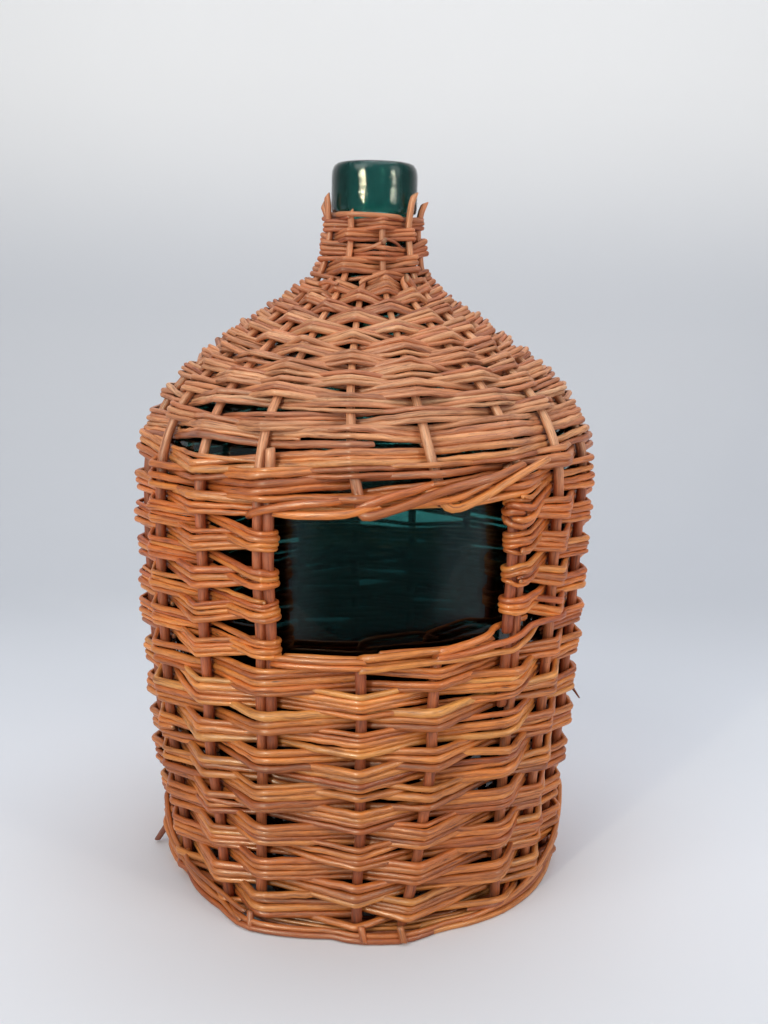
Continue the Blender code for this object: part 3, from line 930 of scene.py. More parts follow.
def willow(name, palette, tan, dark, spots=0.10, rough=0.46, coat=0.22,
           tan_from=0.236, tan_to=0.275, streak=1.0):
    """Varnished willow: each rod has its own tone; streaks run along it."""
    mat, tree, shader = nodes_of(name)
    g = Graph(tree)
    co = g.attribute("rod_co").outputs["Vector"]
    tone = g.attribute("rod_tone").outputs["Fac"]
    red = g.attribute("rod_red").outputs["Fac"]
    cut = g.attribute("rod_cut").outputs["Fac"]
    inside = g.attribute("rod_inner_shade").outputs["Fac"]
    place_ = g.new("ShaderNodeTexCoord").outputs["Object"]

    drift = g.noise(g.stretch(co, (0.012, 0.10, 0.10)), 1.0, 2.0)
    drift = g.maths("MULTIPLY_ADD", drift, 0.55)
    tree.nodes[-1].inputs[2].default_value = -0.275
    shifted = g.maths("ADD", tone, drift)
    base = g.ramp(shifted, palette)
    # towards a pinkish tan on the shoulder
    sep = g.new("ShaderNodeSeparateXYZ")
    g.link(place_, sep.inputs[0])
    up = g.new("ShaderNodeMapRange", interpolation_type="SMOOTHSTEP")
    g.link(sep.outputs["Z"], up.inputs["Value"])
    up.inputs["From Min"].default_value = tan_from
    up.inputs["From Max"].default_value = tan_to
    pale = g.ramp(shifted, tan)
    base = g.mix("MIX", up.outputs["Result"], base, pale)
    # darker and cooler towards the foot and a little brighter at the window's
    # height; on the collar darker and redder, partly the rods' own colour and
    # partly painted shade between the close collar rods
    base = g.mix("MULTIPLY", 1.0, base, g.ramp(sep.outputs["Z"], [
        (0.0, (0.82, 0.83, 0.88)), (0.11, (0.92, 0.93, 0.94)),
        (0.15, (1.03, 1.01, 0.98)), (0.215, (1.05, 1.02, 0.98)),
        (0.24, (0.95, 0.93, 0.96)), (0.318, (0.95, 0.94, 0.97)),
        (0.342, (0.84, 0.66, 0.56))]))
    # a redder or yellower cast per rod
    cast = g.ramp(red, [(0.0, (1.06, 0.90, 0.80)), (0.5, (1.0, 1.0, 1.0)),
                        (1.0, (0.97, 1.06, 1.12))])
    base = g.mix("MULTIPLY", 0.8, base, cast)
    # long streaks and finer grain
    s1 = g.noise(g.stretch(co, (0.045, 0.50, 0.50)), 1.0, 4.0, 0.62)
    base = g.mix("MULTIPLY", 0.85 * streak, base, g.ramp(
        s1, [(0.31, (0.36, 0.22, 0.16)), (0.44, (0.84, 0.77, 0.71)),
             (0.54, (1.02, 1.02, 1.01)), (0.62, (1.14, 1.14, 1.09)),
             (0.74, (1.50, 1.56, 1.54))]))
    s2 = g.noise(g.stretch(co, (0.13, 1.7, 1.7)), 1.0, 3.0, 0.65)
    base = g.mix("MULTIPLY", 0.6 * streak, base, g.ramp(
        s2, [(0.33, (0.46, 0.34, 0.27)), (0.47, (0.96, 0.95, 0.94)),
             (0.68, (1.18, 1.20, 1.20))]))
    # dark scars and knots
    vor = g.new("ShaderNodeTexVoronoi", feature="F1")
    g.link(g.stretch(co, (0.055, 0.34, 0.34)), vor.inputs["Vector"])
    vor.inputs["Scale"].default_value = 1.0
    vor.inputs["Randomness"].default_value = 1.0
    near = g.ramp(vor.outputs["Distance"], [(0.05, 1.0), (0.16, 0.0)])
    sepc = g.new("ShaderNodeSeparateColor")
    g.link(vor.outputs["Color"], sepc.inputs[0])
    some = g.maths("GREATER_THAN", sepc.outputs[0], 1.0 - spots * 2.2)
    base = g.mix("MIX", g.maths("MULTIPLY", g.maths("MULTIPLY", near, some),
                                0.85), base, dark)
    # fine specks
    v2 = g.new("ShaderNodeTexVoronoi", feature="F1")
    g.link(g.stretch(co, (0.42, 0.9, 0.9)), v2.inputs["Vector"])
    v2.inputs["Scale"].default_value = 1.0
    sp2 = g.new("ShaderNodeSeparateColor")
    g.link(v2.outputs["Color"], sp2.inputs[0])
    speck = g.maths("MULTIPLY", g.ramp(v2.outputs["Distance"],
                                       [(0.06, 1.0), (0.17, 0.0)]),
                    g.maths("GREATER_THAN", sp2.outputs[0], 0.86))
    base = g.mix("MIX", g.maths("MULTIPLY", speck, 0.6), base, dark)
    # bleached wood on cut ends
    base = g.mix("MIX", g.maths("MULTIPLY", cut, 0.6), base,
                 (0.44, 0.25, 0.13))
    # painted shade: the sides that face the bottle's axis are darkened, as the
    # inside of the basket lies in shade
    base = g.mix("MULTIPLY", 1.0, base, g.ramp(inside, [(0.35, 1.0),
                                                        (0.85, 0.32)]))
    g.link(base, shader.inputs["Base Color"])
    rr = g.new("ShaderNodeMapRange")
    g.link(s1, rr.inputs["Value"])
    rr.inputs["From Min"].default_value = 0.25
    rr.inputs["From Max"].default_value = 0.75
    rr.inputs["To Min"].default_value = rough + 0.18
    rr.inputs["To Max"].default_value = rough - 0.12
    g.link(rr.outputs["Result"], shader.inputs["Roughness"])
    shader.inputs["Coat Weight"].default_value = coat
    shader.inputs["Coat Roughness"].default_value = 0.22
    shader.inputs["Specular IOR Level"].default_value = 0.64
    height = g.maths("ADD", g.maths("MULTIPLY", s1, 0.6),
                     g.maths("MULTIPLY", s2, 0.5))
    bump = g.new("ShaderNodeBump")
    bump.inputs["Strength"].default_value = 0.75
    bump.inputs["Distance"].default_value = 0.0006
    g.link(height, bump.inputs["Height"])
    g.link(bump.outputs["Normal"], shader.inputs["Normal"])
    return mat


HONEY = [(0.0, (0.262, 0.060, 0.012)), (0.25, (0.485, 0.119, 0.020)),
         (0.5, (0.705, 0.210, 0.035)), (0.72, (0.805, 0.293, 0.056)),
         (0.9, (0.865, 0.392, 0.104)), (1.0, (0.900, 0.512, 0.196))]
TAN = [(0.0, (0.332, 0.109, 0.052)), (0.25, (0.545, 0.201, 0.090)),
       (0.5, (0.700, 0.298, 0.136)), (0.75, (0.782, 0.382, 0.182)),
       (1.0, (0.845, 0.502, 0.284))]
STAKE_RED = [(0.0, (0.280, 0.058, 0.018)), (0.5, (0.500, 0.128, 0.040)),
             (1.0, (0.650, 0.215, 0.075))]
STAKE_TAN = [(0.0, (0.560, 0.225, 0.100)), (0.5, (0.800, 0.370, 0.180)),
             (1.0, (0.910, 0.510, 0.280))]
DARK = (0.060, 0.017, 0.007)

M_WEAVE = willow("willow_weave", HONEY, TAN, DARK)
M_STAKE = willow("willow_stake", STAKE_RED, STAKE_TAN, DARK, spots=0.14,
                 rough=0.5, coat=0.08, tan_from=0.226, tan_to=0.262)
M_PALE = willow("willow_shoulder", HONEY, TAN, DARK, coat=0.05, rough=0.52)
M_BASE = willow("willow_base", [(0.0, (0.16, 0.06, 0.025)),
                                (0.5, (0.30, 0.12, 0.045)),
                                (1.0, (0.42, 0.20, 0.085))], TAN, DARK,
                rough=0.6, coat=0.0)


def green_glass():
    mat, tree, shader = nodes_of("green_glass")
    g = Graph(tree)
    out = [n for n in tree.nodes if n.type == "OUTPUT_MATERIAL"][0]
    place_ = g.new("ShaderNodeTexCoord").outputs["Object"]
    shader.inputs["Transmission Weight"].default_value = 1.0
    shader.inputs["IOR"].default_value = 1.5
    shader.inputs["Metallic"].default_value = 0.0
    # blown glass: pebbled skin and slow waves
    big = g.noise(place_, 60.0, 2.0)
    fine = g.noise(place_, 1300.0, 0.0, 0.5)
    sep = g.new("ShaderNodeSeparateXYZ")
    g.link(place_, sep.inputs[0])
    up = g.new("ShaderNodeMapRange")
    g.link(sep.outputs["Z"], up.inputs["Value"])
    up.inputs["From Min"].default_value = 0.34
    up.inputs["From Max"].default_value = 0.375
    up.inputs["To Min"].default_value = 0.02
    up.inputs["To Max"].default_value = 1.0
    height = g.maths("ADD", g.maths("MULTIPLY", big, 0.02),
                     g.maths("MULTIPLY", fine, g.maths(
                         "MULTIPLY", up.outputs["Result"], 0.17)))
    # painted shade and light in the glass colour: darker low down so that the
    # window reads as a dark, shaded inside, and clearer towards the shoulder and
    # the lip so that the lip reads as lit from behind
    glass_shade_by_height = g.new("ShaderNodeMapRange")
    g.link(sep.outputs["Z"], glass_shade_by_height.inputs["Value"])
    glass_shade_by_height.inputs["From Min"].default_value = 0.15
    glass_shade_by_height.inputs["From Max"].default_value = 0.40
    tint = g.ramp(glass_shade_by_height.outputs["Result"], [
        (0.0, (0.12, 0.16, 0.17)), (0.10, (0.44, 0.58, 0.58)),
        (0.30, (0.70, 0.93, 0.91)), (0.60, (0.66, 0.90, 0.88)),
        (0.86, (0.95, 1.0, 0.99))])
    tint = g.mix("MULTIPLY", 0.5, tint, g.ramp(
        big, [(0.3, (0.85, 0.92, 0.95)), (0.7, (1.0, 1.0, 1.0))]))
    g.link(tint, shader.inputs["Base Color"])
    bump = g.new("ShaderNodeBump")
    bump.inputs["Strength"].default_value = 0.5
    bump.inputs["Distance"].default_value = 0.0012
    g.link(height, bump.inputs["Height"])
    g.link(bump.outputs["Normal"], shader.inputs["Normal"])
    rr = g.new("ShaderNodeMapRange")
    g.link(fine, rr.inputs["Value"])
    rr.inputs["To Min"].default_value = 0.012
    rr.inputs["To Max"].default_value = 0.045
    g.link(rr.outputs["Result"], shader.inputs["Roughness"])
    vol = g.new("ShaderNodeVolumeAbsorption")
    vol.inputs["Color"].default_value = (0.13, 0.58, 0.54, 1.0)
    vol.inputs["Density"].default_value = 320.0
    g.link(vol.outputs[0], out.inputs["Volume"])
    return mat


M_GLASS = green_glass()


# ----------------------------------------------------------------- the pieces
def stake_sticks(i, s0, s1, shift=0.0, thin=1.0, slant=(0.3, 0.9), tone=None,
                 sides=12, lean=0.0):
    n = max(3, int((s1 - s0) / 5.0))
    pts, rad = [], []
    phase = rng.uniform(0, 6.28)
    for k in range(n + 1):
        s = lerp(s0, s1, k / n)
        z = LINE.at(s)[1]
        off = 0.15 * math.sin(s / 13.0 + phase)
        off += lean * clamp((s - s1 + 12.0) / 12.0) ** 2
        off += 2.1 * clamp((z - 361.0) / 11.0) ** 1.5
        pts.append(on_stake(i, s, off, shift))
        rad.append(stick_radius(z) * thin
                   * (1.0 + 0.02 * math.sin(s / 8.0 + phase * 2)))
    rad = np.array(rad)
    for q in range(2, n - 1):
        if rng.random() < 0.06:
            rad[q] *= 1.06
    return Stick(np.array(pts), rad, clamp(rng.normal(0.5, 0.2))
                 if tone is None else tone, slant, sides=sides)


def make_stakes():
    foot = S_OF(FOOT_H + 0.6)
    for i in range(STAKES):
        name = "stake_%02d" % (i + 1)
        keep = i % 2 == 0 and i < 2 * NECK_STAKES
        top = S_OF(382.0) if keep else S_OF(337.5)
        if keep:
            top += {0: 0.0, 2: -9.5, 4: -11.5, 6: 1.5, 8: -2.0,
                    16: -3.0}.get(i, -3.0)
        if i in (3, 4):
            a = stake_angle(i, 150.0)
            s_sill = S_OF(SILL_Z) + tilt(S_OF(SILL_Z), a)
            s_lint = S_OF(LINTEL_Z) + tilt(S_OF(LINTEL_Z), a)
            ob = build("vis_" + name + "_lower", [stake_sticks(
                i, foot, s_sill + 3.0)], M_STAKE)
            place(ob, "stake_willow", name + "_lower")
            ob = build("vis_" + name + "_upper", [stake_sticks(
                i, s_lint - 3.0, top)], M_STAKE)
            place(ob, "stake_willow", name + "_upper")
        else:
            lean = {0: 0.0, 6: 1.4, 8: 1.6, 16: 2.2}.get(i, 0.0)
            ob = build("vis_" + name, [stake_sticks(i, foot, top, lean=lean)],
                       M_STAKE)
            place(ob, "stake_willow", name)
    ob = build("vis_window_post_left", [stake_sticks(
        2, S_OF(104.0), S_OF(256.0), POST_SPACING, 1.0,
        slant=(0.3, 0.2), lean=2.4)], M_STAKE)
    place(ob, "stake_willow", "window_post_left")
    ob = build("vis_window_post_right", [stake_sticks(
        5, S_OF(124.0), S_OF(158.5), -POST_SPACING, 0.96, (0.2, 0.5)),
        stake_sticks(5, S_OF(164.0), S_OF(249.0), -POST_SPACING, 1.0,
                     (0.1, 0.3))], M_STAKE)
    place(ob, "stake_willow", "window_post_right")


def make_weave():
    s_foot, s_sill = S_OF(FOOT_H + 0.6), S_OF(SILL_Z)
    s_lintel, s_waist = S_OF(LINTEL_Z), S_OF(266.0)
    s_collar, s_neck = S_OF(336.5), S_OF(371.2)
    reseed(31)
    prog = spiral_program(s_foot, s_sill, lambda s: ROW_BODY, stations(), -1,
                          tilt)
    ob = build("vis_lower_weave", weave(prog, 3, 1.98, extra=0.5,
                                        fill=1.07), M_WEAVE)
    place(ob, "weave_willow", "lower_weave")

    reseed(52)
    prog = window_program(s_sill, s_lintel, WINDOW_ROWS)
    # small gaps at the back let light through the glass
    prog = part_rows(prog, [(162.0, 180.3, 21.0, 10.0), (202.0, 160.0, 12.0, 3.2),
                            (188.0, 167.0, 8.0, 1.3), (172.0, 160.0, 8.0, 1.4),
                            (159.0, 167.0, 11.0, 3.0), (186.0, 190.0, 11.0, 2.4)])
    ob = build("vis_window_weave", weave(prog, 3, 1.74, extra=0.55,
                                         fill=1.05), M_WEAVE)
    place(ob, "weave_willow", "window_weave")

    reseed(43)
    prog = spiral_program(s_lintel, s_waist, lambda s: ROW_BODY - 0.4,
                          stations(), -1, tilt, S_OF(256.0))
    prog = part_rows(prog, [(-45.0, 259.5, 29.0, 10.5), (-9.5, 259.5, 12.0, 2.6),
                            (13.0, 257.0, 10.0, 0.8)])
    ob = build("vis_upper_weave", weave(prog, 3, 1.84, per_rod=3.2, fill=1.10,
                                        extra=0.5, jitter=0.035), M_WEAVE)
    place(ob, "weave_willow", "upper_weave")

    reseed(34)
    plain = [(i, 0, i) for i in range(STAKES)]
    prog = spiral_program(s_waist, s_collar, lambda s: table(
        [(266, ROW_SHOULDER), (277, ROW_TOP), (296, ROW_TOP), (306, 8.7),
         (330, ROW_SHOULDER)], LINE.at(s)[1]), plain, -1, tilt)
    prog = part_rows(prog, [(-28.0, 271.5, 20.0, 6.4)])
    ob = build("vis_shoulder_weave", weave(prog, 3, 1.62, (420.0, 800.0),
                                           swap=0.15, per_rod=2.7, extra=0.4,
                                           fill=1.04, jitter=0.048), M_PALE)
    place(ob, "shoulder_willow", "shoulder_weave")

    reseed(45)
    neck = [(i, 0, i) for i in range(0, 2 * NECK_STAKES, 2)]
    prog = spiral_program(s_collar + 0.3, s_neck, lambda s: (
        9.2 if 347.3 < LINE.at(s)[1] < 356.5 else ROW_NECK), neck, 1,
        lambda s, a: 0.0)
    # one row has a rod less right of the middle, which leaves a dark gap
    for st in prog:
        if st.i in (4, 6) and 345.0 < st.z < 357.0 and st.hi - st.lo > 8.0:
            st.hi -= 6.2 if st.i == 4 else 5.2
    for st in prog:
        st.lo, st.hi = (v + table([(337.0, 0.6), (345.0, 2.3), (353.3, 3.7),
                                   (362.6, 1.5), (369.0, 0.0)],
                                  LINE.at(v)[1]) for v in (st.lo, st.hi))
    sticks = weave(prog, 3, 1.38, (260.0, 560.0), per_rod=2.2, swap=0.03,
                   fill=1.05, jitter=0.015, even=0.75)

    def collar(points, r0, r1, tone):
        path = smooth_path([on_skin(a, S_OF(z), off)
                            for a, z, off in points], 3.0)
        return Stick(path, np.linspace(r0, r1, len(path)), tone, (0.5, 0.8))

    # one stout rod closes the rim
    rim = [(-104, -2.6), (-84, 0.4), (-64.5, -2.8), (-47, 0.8), (-27.6, 3.4),
           (-9, 2.9), (11, 2.4), (31, 1.4), (50.4, -3.0), (69, 0.4),
           (87.5, 3.0), (109, 0.4), (130.5, -2.8), (152, 0.4), (173.5, 3.2),
           (194, 0.4), (215, -2.8), (235, 0.2)]
    sticks.append(collar([(a, 371.7 - 0.015 * (a + 50), off)
                          for a, off in rim], 1.5, 1.15, 0.5))
    # a rod that ends in front of a stake, a cut end, one that slips inside
    sticks.append(collar([(-29.0, 352.6, -3.4), (-12.0, 353.0, -0.2),
                          (3.0, 354.6, 3.0), (9.6, 356.0, 4.6)],
                         1.25, 1.3, 0.55))
    sticks.append(collar([(6.5, 355.2, 1.5), (9.0, 356.0, 3.6),
                          (11.4, 356.6, 5.9)], 1.5, 1.6, 0.12))
    sticks.append(collar([(13.0, 358.6, 3.2), (27.0, 357.2, 0.6),
                          (44.0, 354.8, -3.4)], 0.9, 0.8, 0.2))
    # loose ends where the shoulder meets the collar
    sticks.append(collar([(-9.0, 332.0, 4.6), (-4.8, 333.4, 5.8),
                          (3.0, 335.8, 6.2), (10.4, 338.0, 6.4)],
                         1.15, 1.0, 0.78))
    sticks.append(collar([(36.0, 330.4, 2.4), (31.5, 331.8, 5.4),
                          (27.0, 333.2, 7.6)], 1.8, 2.0, 0.3))
    sticks.append(collar([(-40.0, 331.0, 5.4), (-33.0, 331.6, 6.0),
                          (-25.0, 330.6, 5.6)], 1.3, 1.2, 0.3))
    ob = build("vis_neck_weave", sticks, M_PALE)
    place(ob, "shoulder_willow", "neck_weave")


def edge_rod(name, nodes, lines, slot="weave_willow"):
    """Rods along the window's edges; each line is a list of
    (angle, height, offset, radius)."""
    sticks = []
    for line in lines:
        pts = [on_skin(a, S_OF(z), off) for a, z, off, _ in line]
        path = smooth_path(pts, 4.0)
        d = np.concatenate([[0], np.cumsum(
            np.linalg.norm(np.diff(path, axis=0), axis=1))])
        dk = np.concatenate([[0], np.cumsum(
            np.linalg.norm(np.diff(np.array(pts), axis=0), axis=1))])
        rad = np.interp(d / d[-1], dk / dk[-1], [q[3] for q in line])
        rad = rad * (1 + np.clip(rng.normal(0, 0.02, len(rad)), -.05, .05))
        sticks.append(Stick(path, rad, pick_tone(), (0.6, -0.6)))
    return place(build(name, sticks, M_WEAVE), slot, *nodes)


def make_window_edges():
    s_sill, s_lint = S_OF(SILL_Z), S_OF(LINTEL_Z)
    left = stake_angle(2, 190.0) + 5.2
    right = stake_angle(5, 190.0) - 5.2

    def along(base, rise, off, r, a0=left, a1=right, n=9, wave=0.4):
        out = []
        for k in range(n):
            a = lerp(a0, a1, k / (n - 1.0))
            s = base + tilt(base, a) + rise
            out.append((a, LINE.at(s)[1] + wave * math.sin(k * 1.7), off, r))
        return out

    # lower edge: the two cut stakes are folded over to the right
    edge_rod("vis_window_sill_rod_outer", ["window_sill_rod_outer"], [
        [(-24.0, 151.2, -3.0, 1.7), (-19.5, 154.4, 3.2, 1.6),
         (-10.0, 155.2, 4.2, 1.6), (-2.5, 155.9, 4.6, 1.5),
         (0.6, 156.0, 4.8, 1.4)],
        [(-23.0, 148.6, -3.0, 1.6), (-19.3, 151.2, 3.4, 1.55),
         (-9.0, 152.2, 4.4, 1.6), (-0.9, 152.9, 5.0, 1.5),
         (1.2, 152.9, 5.0, 1.4)],
        [(-0.5, 147.0, 0.0, 2.5), (-0.5, 152.5, 0.6, 2.6),
         (-0.3, 156.2, 2.2, 2.5), (2.2, 157.9, 4.2, 2.1),
         (7.6, 159.2, 4.6, 1.8), (13.0, 160.4, 4.4, 1.7),
         (16.6, 160.4, 4.0, 1.6), (20.0, 159.0, -1.0, 1.5)],
        [(-0.2, 152.2, 5.6, 1.9), (3.0, 152.6, 5.4, 1.8),
         (8.1, 153.9, 4.4, 1.7), (16.1, 155.1, 4.6, 1.6),
         (21.0, 154.6, 3.0, 1.6), (26.8, 155.4, 4.4, 1.6),
         (31.9, 155.9, 4.8, 1.6), (36.6, 155.4, 5.0, 1.6),
         (39.5, 157.6, 4.8, 1.6), (43.1, 160.1, 3.4, 1.5),
         (48.5, 162.5, -1.0, 1.5), (56.0, 163.0, -4.0, 1.4)],
        [(17.5, 148.0, 0.0, 2.4), (17.5, 155.0, 0.6, 2.6),
         (17.7, 159.2, 2.2, 2.5), (19.4, 160.5, 4.2, 2.2),
         (25.1, 163.2, 4.6, 1.9), (29.8, 165.4, 3.4, 1.8),
         (33.2, 166.2, -2.0, 1.7), (38.0, 166.4, -4.5, 1.6),
         (44.0, 168.0, -2.0, 1.5)],
        [(17.0, 156.6, 3.6, 1.7), (22.0, 157.8, 4.6, 1.8),
         (26.6, 159.0, 4.8, 1.8), (30.9, 160.4, 5.0, 1.8),
         (35.4, 161.0, 5.2, 1.75), (39.6, 163.0, 5.0, 1.7),
         (42.6, 166.0, 4.6, 1.7), (48.2, 166.4, 5.2, 1.65),
         (54.0, 165.4, 6.0, 1.6), (58.5, 164.6, 3.4, 1.6),
         (64.0, 164.0, -2.0, 1.5), (72.0, 164.0, -5.0, 1.4)],
    ])
    edge_rod("vis_window_sill_rod_inner", ["window_sill_rod_inner"],
             [along(s_sill, 1.6, -4.6, 1.7), along(s_sill, 5.0, -4.4, 1.6),
              along(s_sill, 7.4, -4.4, 1.3, 4.0, right, 6)])
    # upper edge: the same from above, and rods that climb to the right
    edge_rod("vis_window_head_rod_outer", ["window_head_rod_outer"], [
        [(-27.5, 223.4, -2.0, 2.0), (-23.5, 227.3, 4.8, 2.1),
         (-18.0, 230.4, 5.0, 2.2), (-12.9, 232.5, 4.8, 2.1),
         (-7.1, 233.8, 4.2, 2.0), (-2.0, 235.6, -1.0, 1.8),
         (4.0, 237.2, -3.0, 1.7)],
        [(-19.8, 227.0, 2.6, 1.8), (-15.5, 227.1, 4.2, 2.1),
         (-9.1, 227.9, 4.8, 2.3), (-4.0, 228.9, 5.2, 2.2),
         (-0.6, 230.6, 5.0, 1.9), (3.0, 232.6, 3.6, 1.6)],
        [(-2.2, 242.0, 0.0, 2.3), (-1.4, 234.0, 0.8, 2.5),
         (-0.7, 229.2, 3.0, 2.5), (1.2, 228.2, 4.8, 2.4),
         (8.0, 232.6, 5.2, 2.3), (16.4, 239.4, 5.8, 2.2),
         (24.0, 243.0, 6.4, 2.1), (29.8, 245.2, 6.2, 2.0),
         (37.0, 249.0, 5.0, 1.9)],
        [(-1.6, 231.8, 3.4, 2.1), (1.5, 234.0, 4.6, 2.2),
         (6.1, 237.6, 5.0, 2.1), (10.4, 239.9, 4.6, 1.9),
         (15.0, 243.0, 3.6, 1.8)],
        [(15.9, 246.0, 0.0, 2.3), (16.9, 237.0, 0.8, 2.5),
         (18.0, 231.9, 3.2, 2.5), (20.4, 231.3, 4.8, 2.3),
         (26.1, 236.0, 5.4, 2.1), (31.4, 241.4, 6.0, 2.0),
         (38.2, 246.5, 6.6, 1.9), (45.0, 250.0, 5.8, 1.8)],
        [(5.5, 232.0, 2.0, 1.5), (9.9, 233.2, 4.0, 1.7),
         (19.2, 236.0, 5.6, 1.7), (25.2, 240.6, 5.4, 1.6),
         (32.0, 245.4, 4.8, 1.5)],
        [(21.0, 232.8, 3.4, 1.8), (25.2, 233.7, 4.4, 1.9),
         (32.0, 235.4, 5.0, 1.8), (37.5, 236.6, 5.6, 1.7),
         (44.0, 239.4, 1.0, 1.6)],
    ])
    edge_rod("vis_window_head_rod_inner", ["window_head_rod_inner"],
             [along(s_lint, -1.5, -4.2, 1.7), along(s_lint, -4.2, -4.0, 1.5)])


# outer edge of the rods that rest on the floor: angle, radius
FOOT_EDGE = [(-95, 119.5), (-80, 119.0), (-62, 114.5), (-40, 118.0),
             (-31, 123.6), (-27, 123.8), (-7, 116.5), (-1, 120.0),
             (12, 121.0), (24, 115.6), (42, 117.6), (57, 117.4), (74, 116.4),
             (90, 118.2), (110, 118.0), (130, 118.6), (150, 117.4),
             (170, 118.4), (190, 117.6), (210, 118.6), (230, 117.6),
             (250, 118.8), (265, 119.5)]


def make_foot():
    """A bundle of rods under the stakes' ends, its outer ones pulled straight
    from corner to corner, and rods that sweep down into it at the sides."""
    sticks = []
    r_line = LINE.at(0.0)[0]
    lanes = [(None, 1.75, 1.65, 0.0), (None, 4.6, 1.35, 1.0),
             (0.4, 1.8, 1.7, 0.0),
             (0.9, 4.3, 1.25, 0.0), (-3.0, 1.75, 1.65, 0.0),
             (-2.6, 4.2, 1.3, 0.0), (-6.3, 1.7, 1.6, 0.0),
             (-6.0, 4.1, 1.4, 0.0), (-9.8, 1.9, 1.6, 0.0),
             (-10.2, 4.4, 1.2, 0.0)]
    for q, (off, z, r, back) in enumerate(lanes):
        turn = rng.uniform(95, 250)
        a = turn
        while a < turn + 360.0:
            span = (75.0, 150.0) if off is None else (190.0, 330.0)
            b = min(a + rng.uniform(*span), turn + 366.0)
            pts = []
            n = int((b - a) / 4.0)
            for k in range(n + 1):
                d = lerp(a, b, k / n)
                if off is None:
                    deg = (d + 95.0) % 360.0 - 95.0
                    rr = table(FOOT_EDGE, deg) - r - back
                    # each rod slips in under the next at its ends
                    rr -= 1.6 * (1.0 - clamp(min(k, n - k) / 3.0))
                else:
                    rr = r_line + off + 0.55 * math.cos(
                        math.radians(d * STAKES + 30.0 * q))
                pts.append(around(rr, z + 0.25 * math.sin(d / 17.0 + q), d))
            f = np.linspace(1.12, 0.86, len(pts)) if rng.random() < 0.5 \
                else np.linspace(0.86, 1.12, len(pts))
            sticks.append(Stick(np.array(pts), np.minimum(r * f, z - 0.05),
                                pick_tone(), (0.8, 0.8), sides=8))
            a = b - rng.uniform(5.0, 10.0)
    # rods that sweep down: start angle and height, end angle and height, lane
    for a0, z0, a1, z1, out_, r in (
            (92.0, 46.0, 58.0, 13.5, 1.8, 1.6),
            (88.0, 34.0, 50.0, 8.6, 1.4, 1.7),
            (80.0, 23.0, 41.0, 5.2, 1.7, 1.6),
            (67.0, 13.0, 29.0, 3.4, 1.5, 1.5),
            (-86.0, 36.0, -58.0, 14.0, -0.6, 1.6),
            (-83.0, 27.0, -50.0, 9.0, -0.2, 1.7),
            (-81.0, 25.0, -42.0, 5.8, 1.5, 1.6),
            (-70.0, 16.0, -31.0, 3.6, 1.3, 1.5),
            (-60.0, 18.0, -30.0, 9.0, 1.0, 1.4),
            (118.0, 26.0, 176.0, 6.0, 1.6, 1.6),
            (244.0, 26.0, 190.0, 7.0, 1.6, 1.6)):
        n = 14
        pts = []
        for k in range(n + 1):
            f = k / n
            d, z = lerp(a0, a1, f), lerp(z0, z1, f ** 0.85)
            deg = (d + 95.0) % 360.0 - 95.0
            edge = table(FOOT_EDGE, deg)
            skin = LINE.at(S_OF(z))[0] + fullness(z, d) + 5.6 + out_
            low = edge - r - 0.6
            rr = lerp(low, skin, clamp((z - 4.0) / 16.0))
            if f < 0.12:
                rr -= 5.0 * (1.0 - f / 0.12)
            pts.append(around(rr, z, d))
        path = smooth_path(pts, 4.0)
        sticks.append(Stick(path, np.linspace(r * 1.08, r * 0.85, len(path)),
                            pick_tone(), (0.8, 0.8)))
    for deg, rad0 in ((0.8, 118.6), (10.6, 120.2), (-28.6, 120.8)):
        a_, b_ = around(rad0 - 1.5, 9.0, deg), around(rad0 + 1.0, 2.3, deg + .8)
        path = smooth_path([a_, (a_ + b_) / 2, b_], 3.0)
        sticks.append(Stick(path, np.full(len(path), 1.9), 0.35, (0.2, 0.4)))
    # stray ends
    for a_, b_, r0, r1 in ((around(117.0, 17.0, -80.0),
                            around(125.4, 2.3, -82.5), 1.9, 1.7),
                           (around(119.0, 113.0, 78.0),
                            around(127.4, 101.0, 79.5), 1.3, 0.45)):
        path = smooth_path([a_, (a_ + b_) / 2 + np.array((0, 0, .4)), b_], 3.0)
        sticks.append(Stick(path, np.linspace(r0, r1, len(path)), 0.0,
                            (0.2, 0.7)))
    ob = build("vis_foot_border", sticks, M_WEAVE)
    place(ob, "weave_willow", "foot_border")


def spoke_angle(k):
    return 9.0 + 360.0 * k / BASE_SPOKES


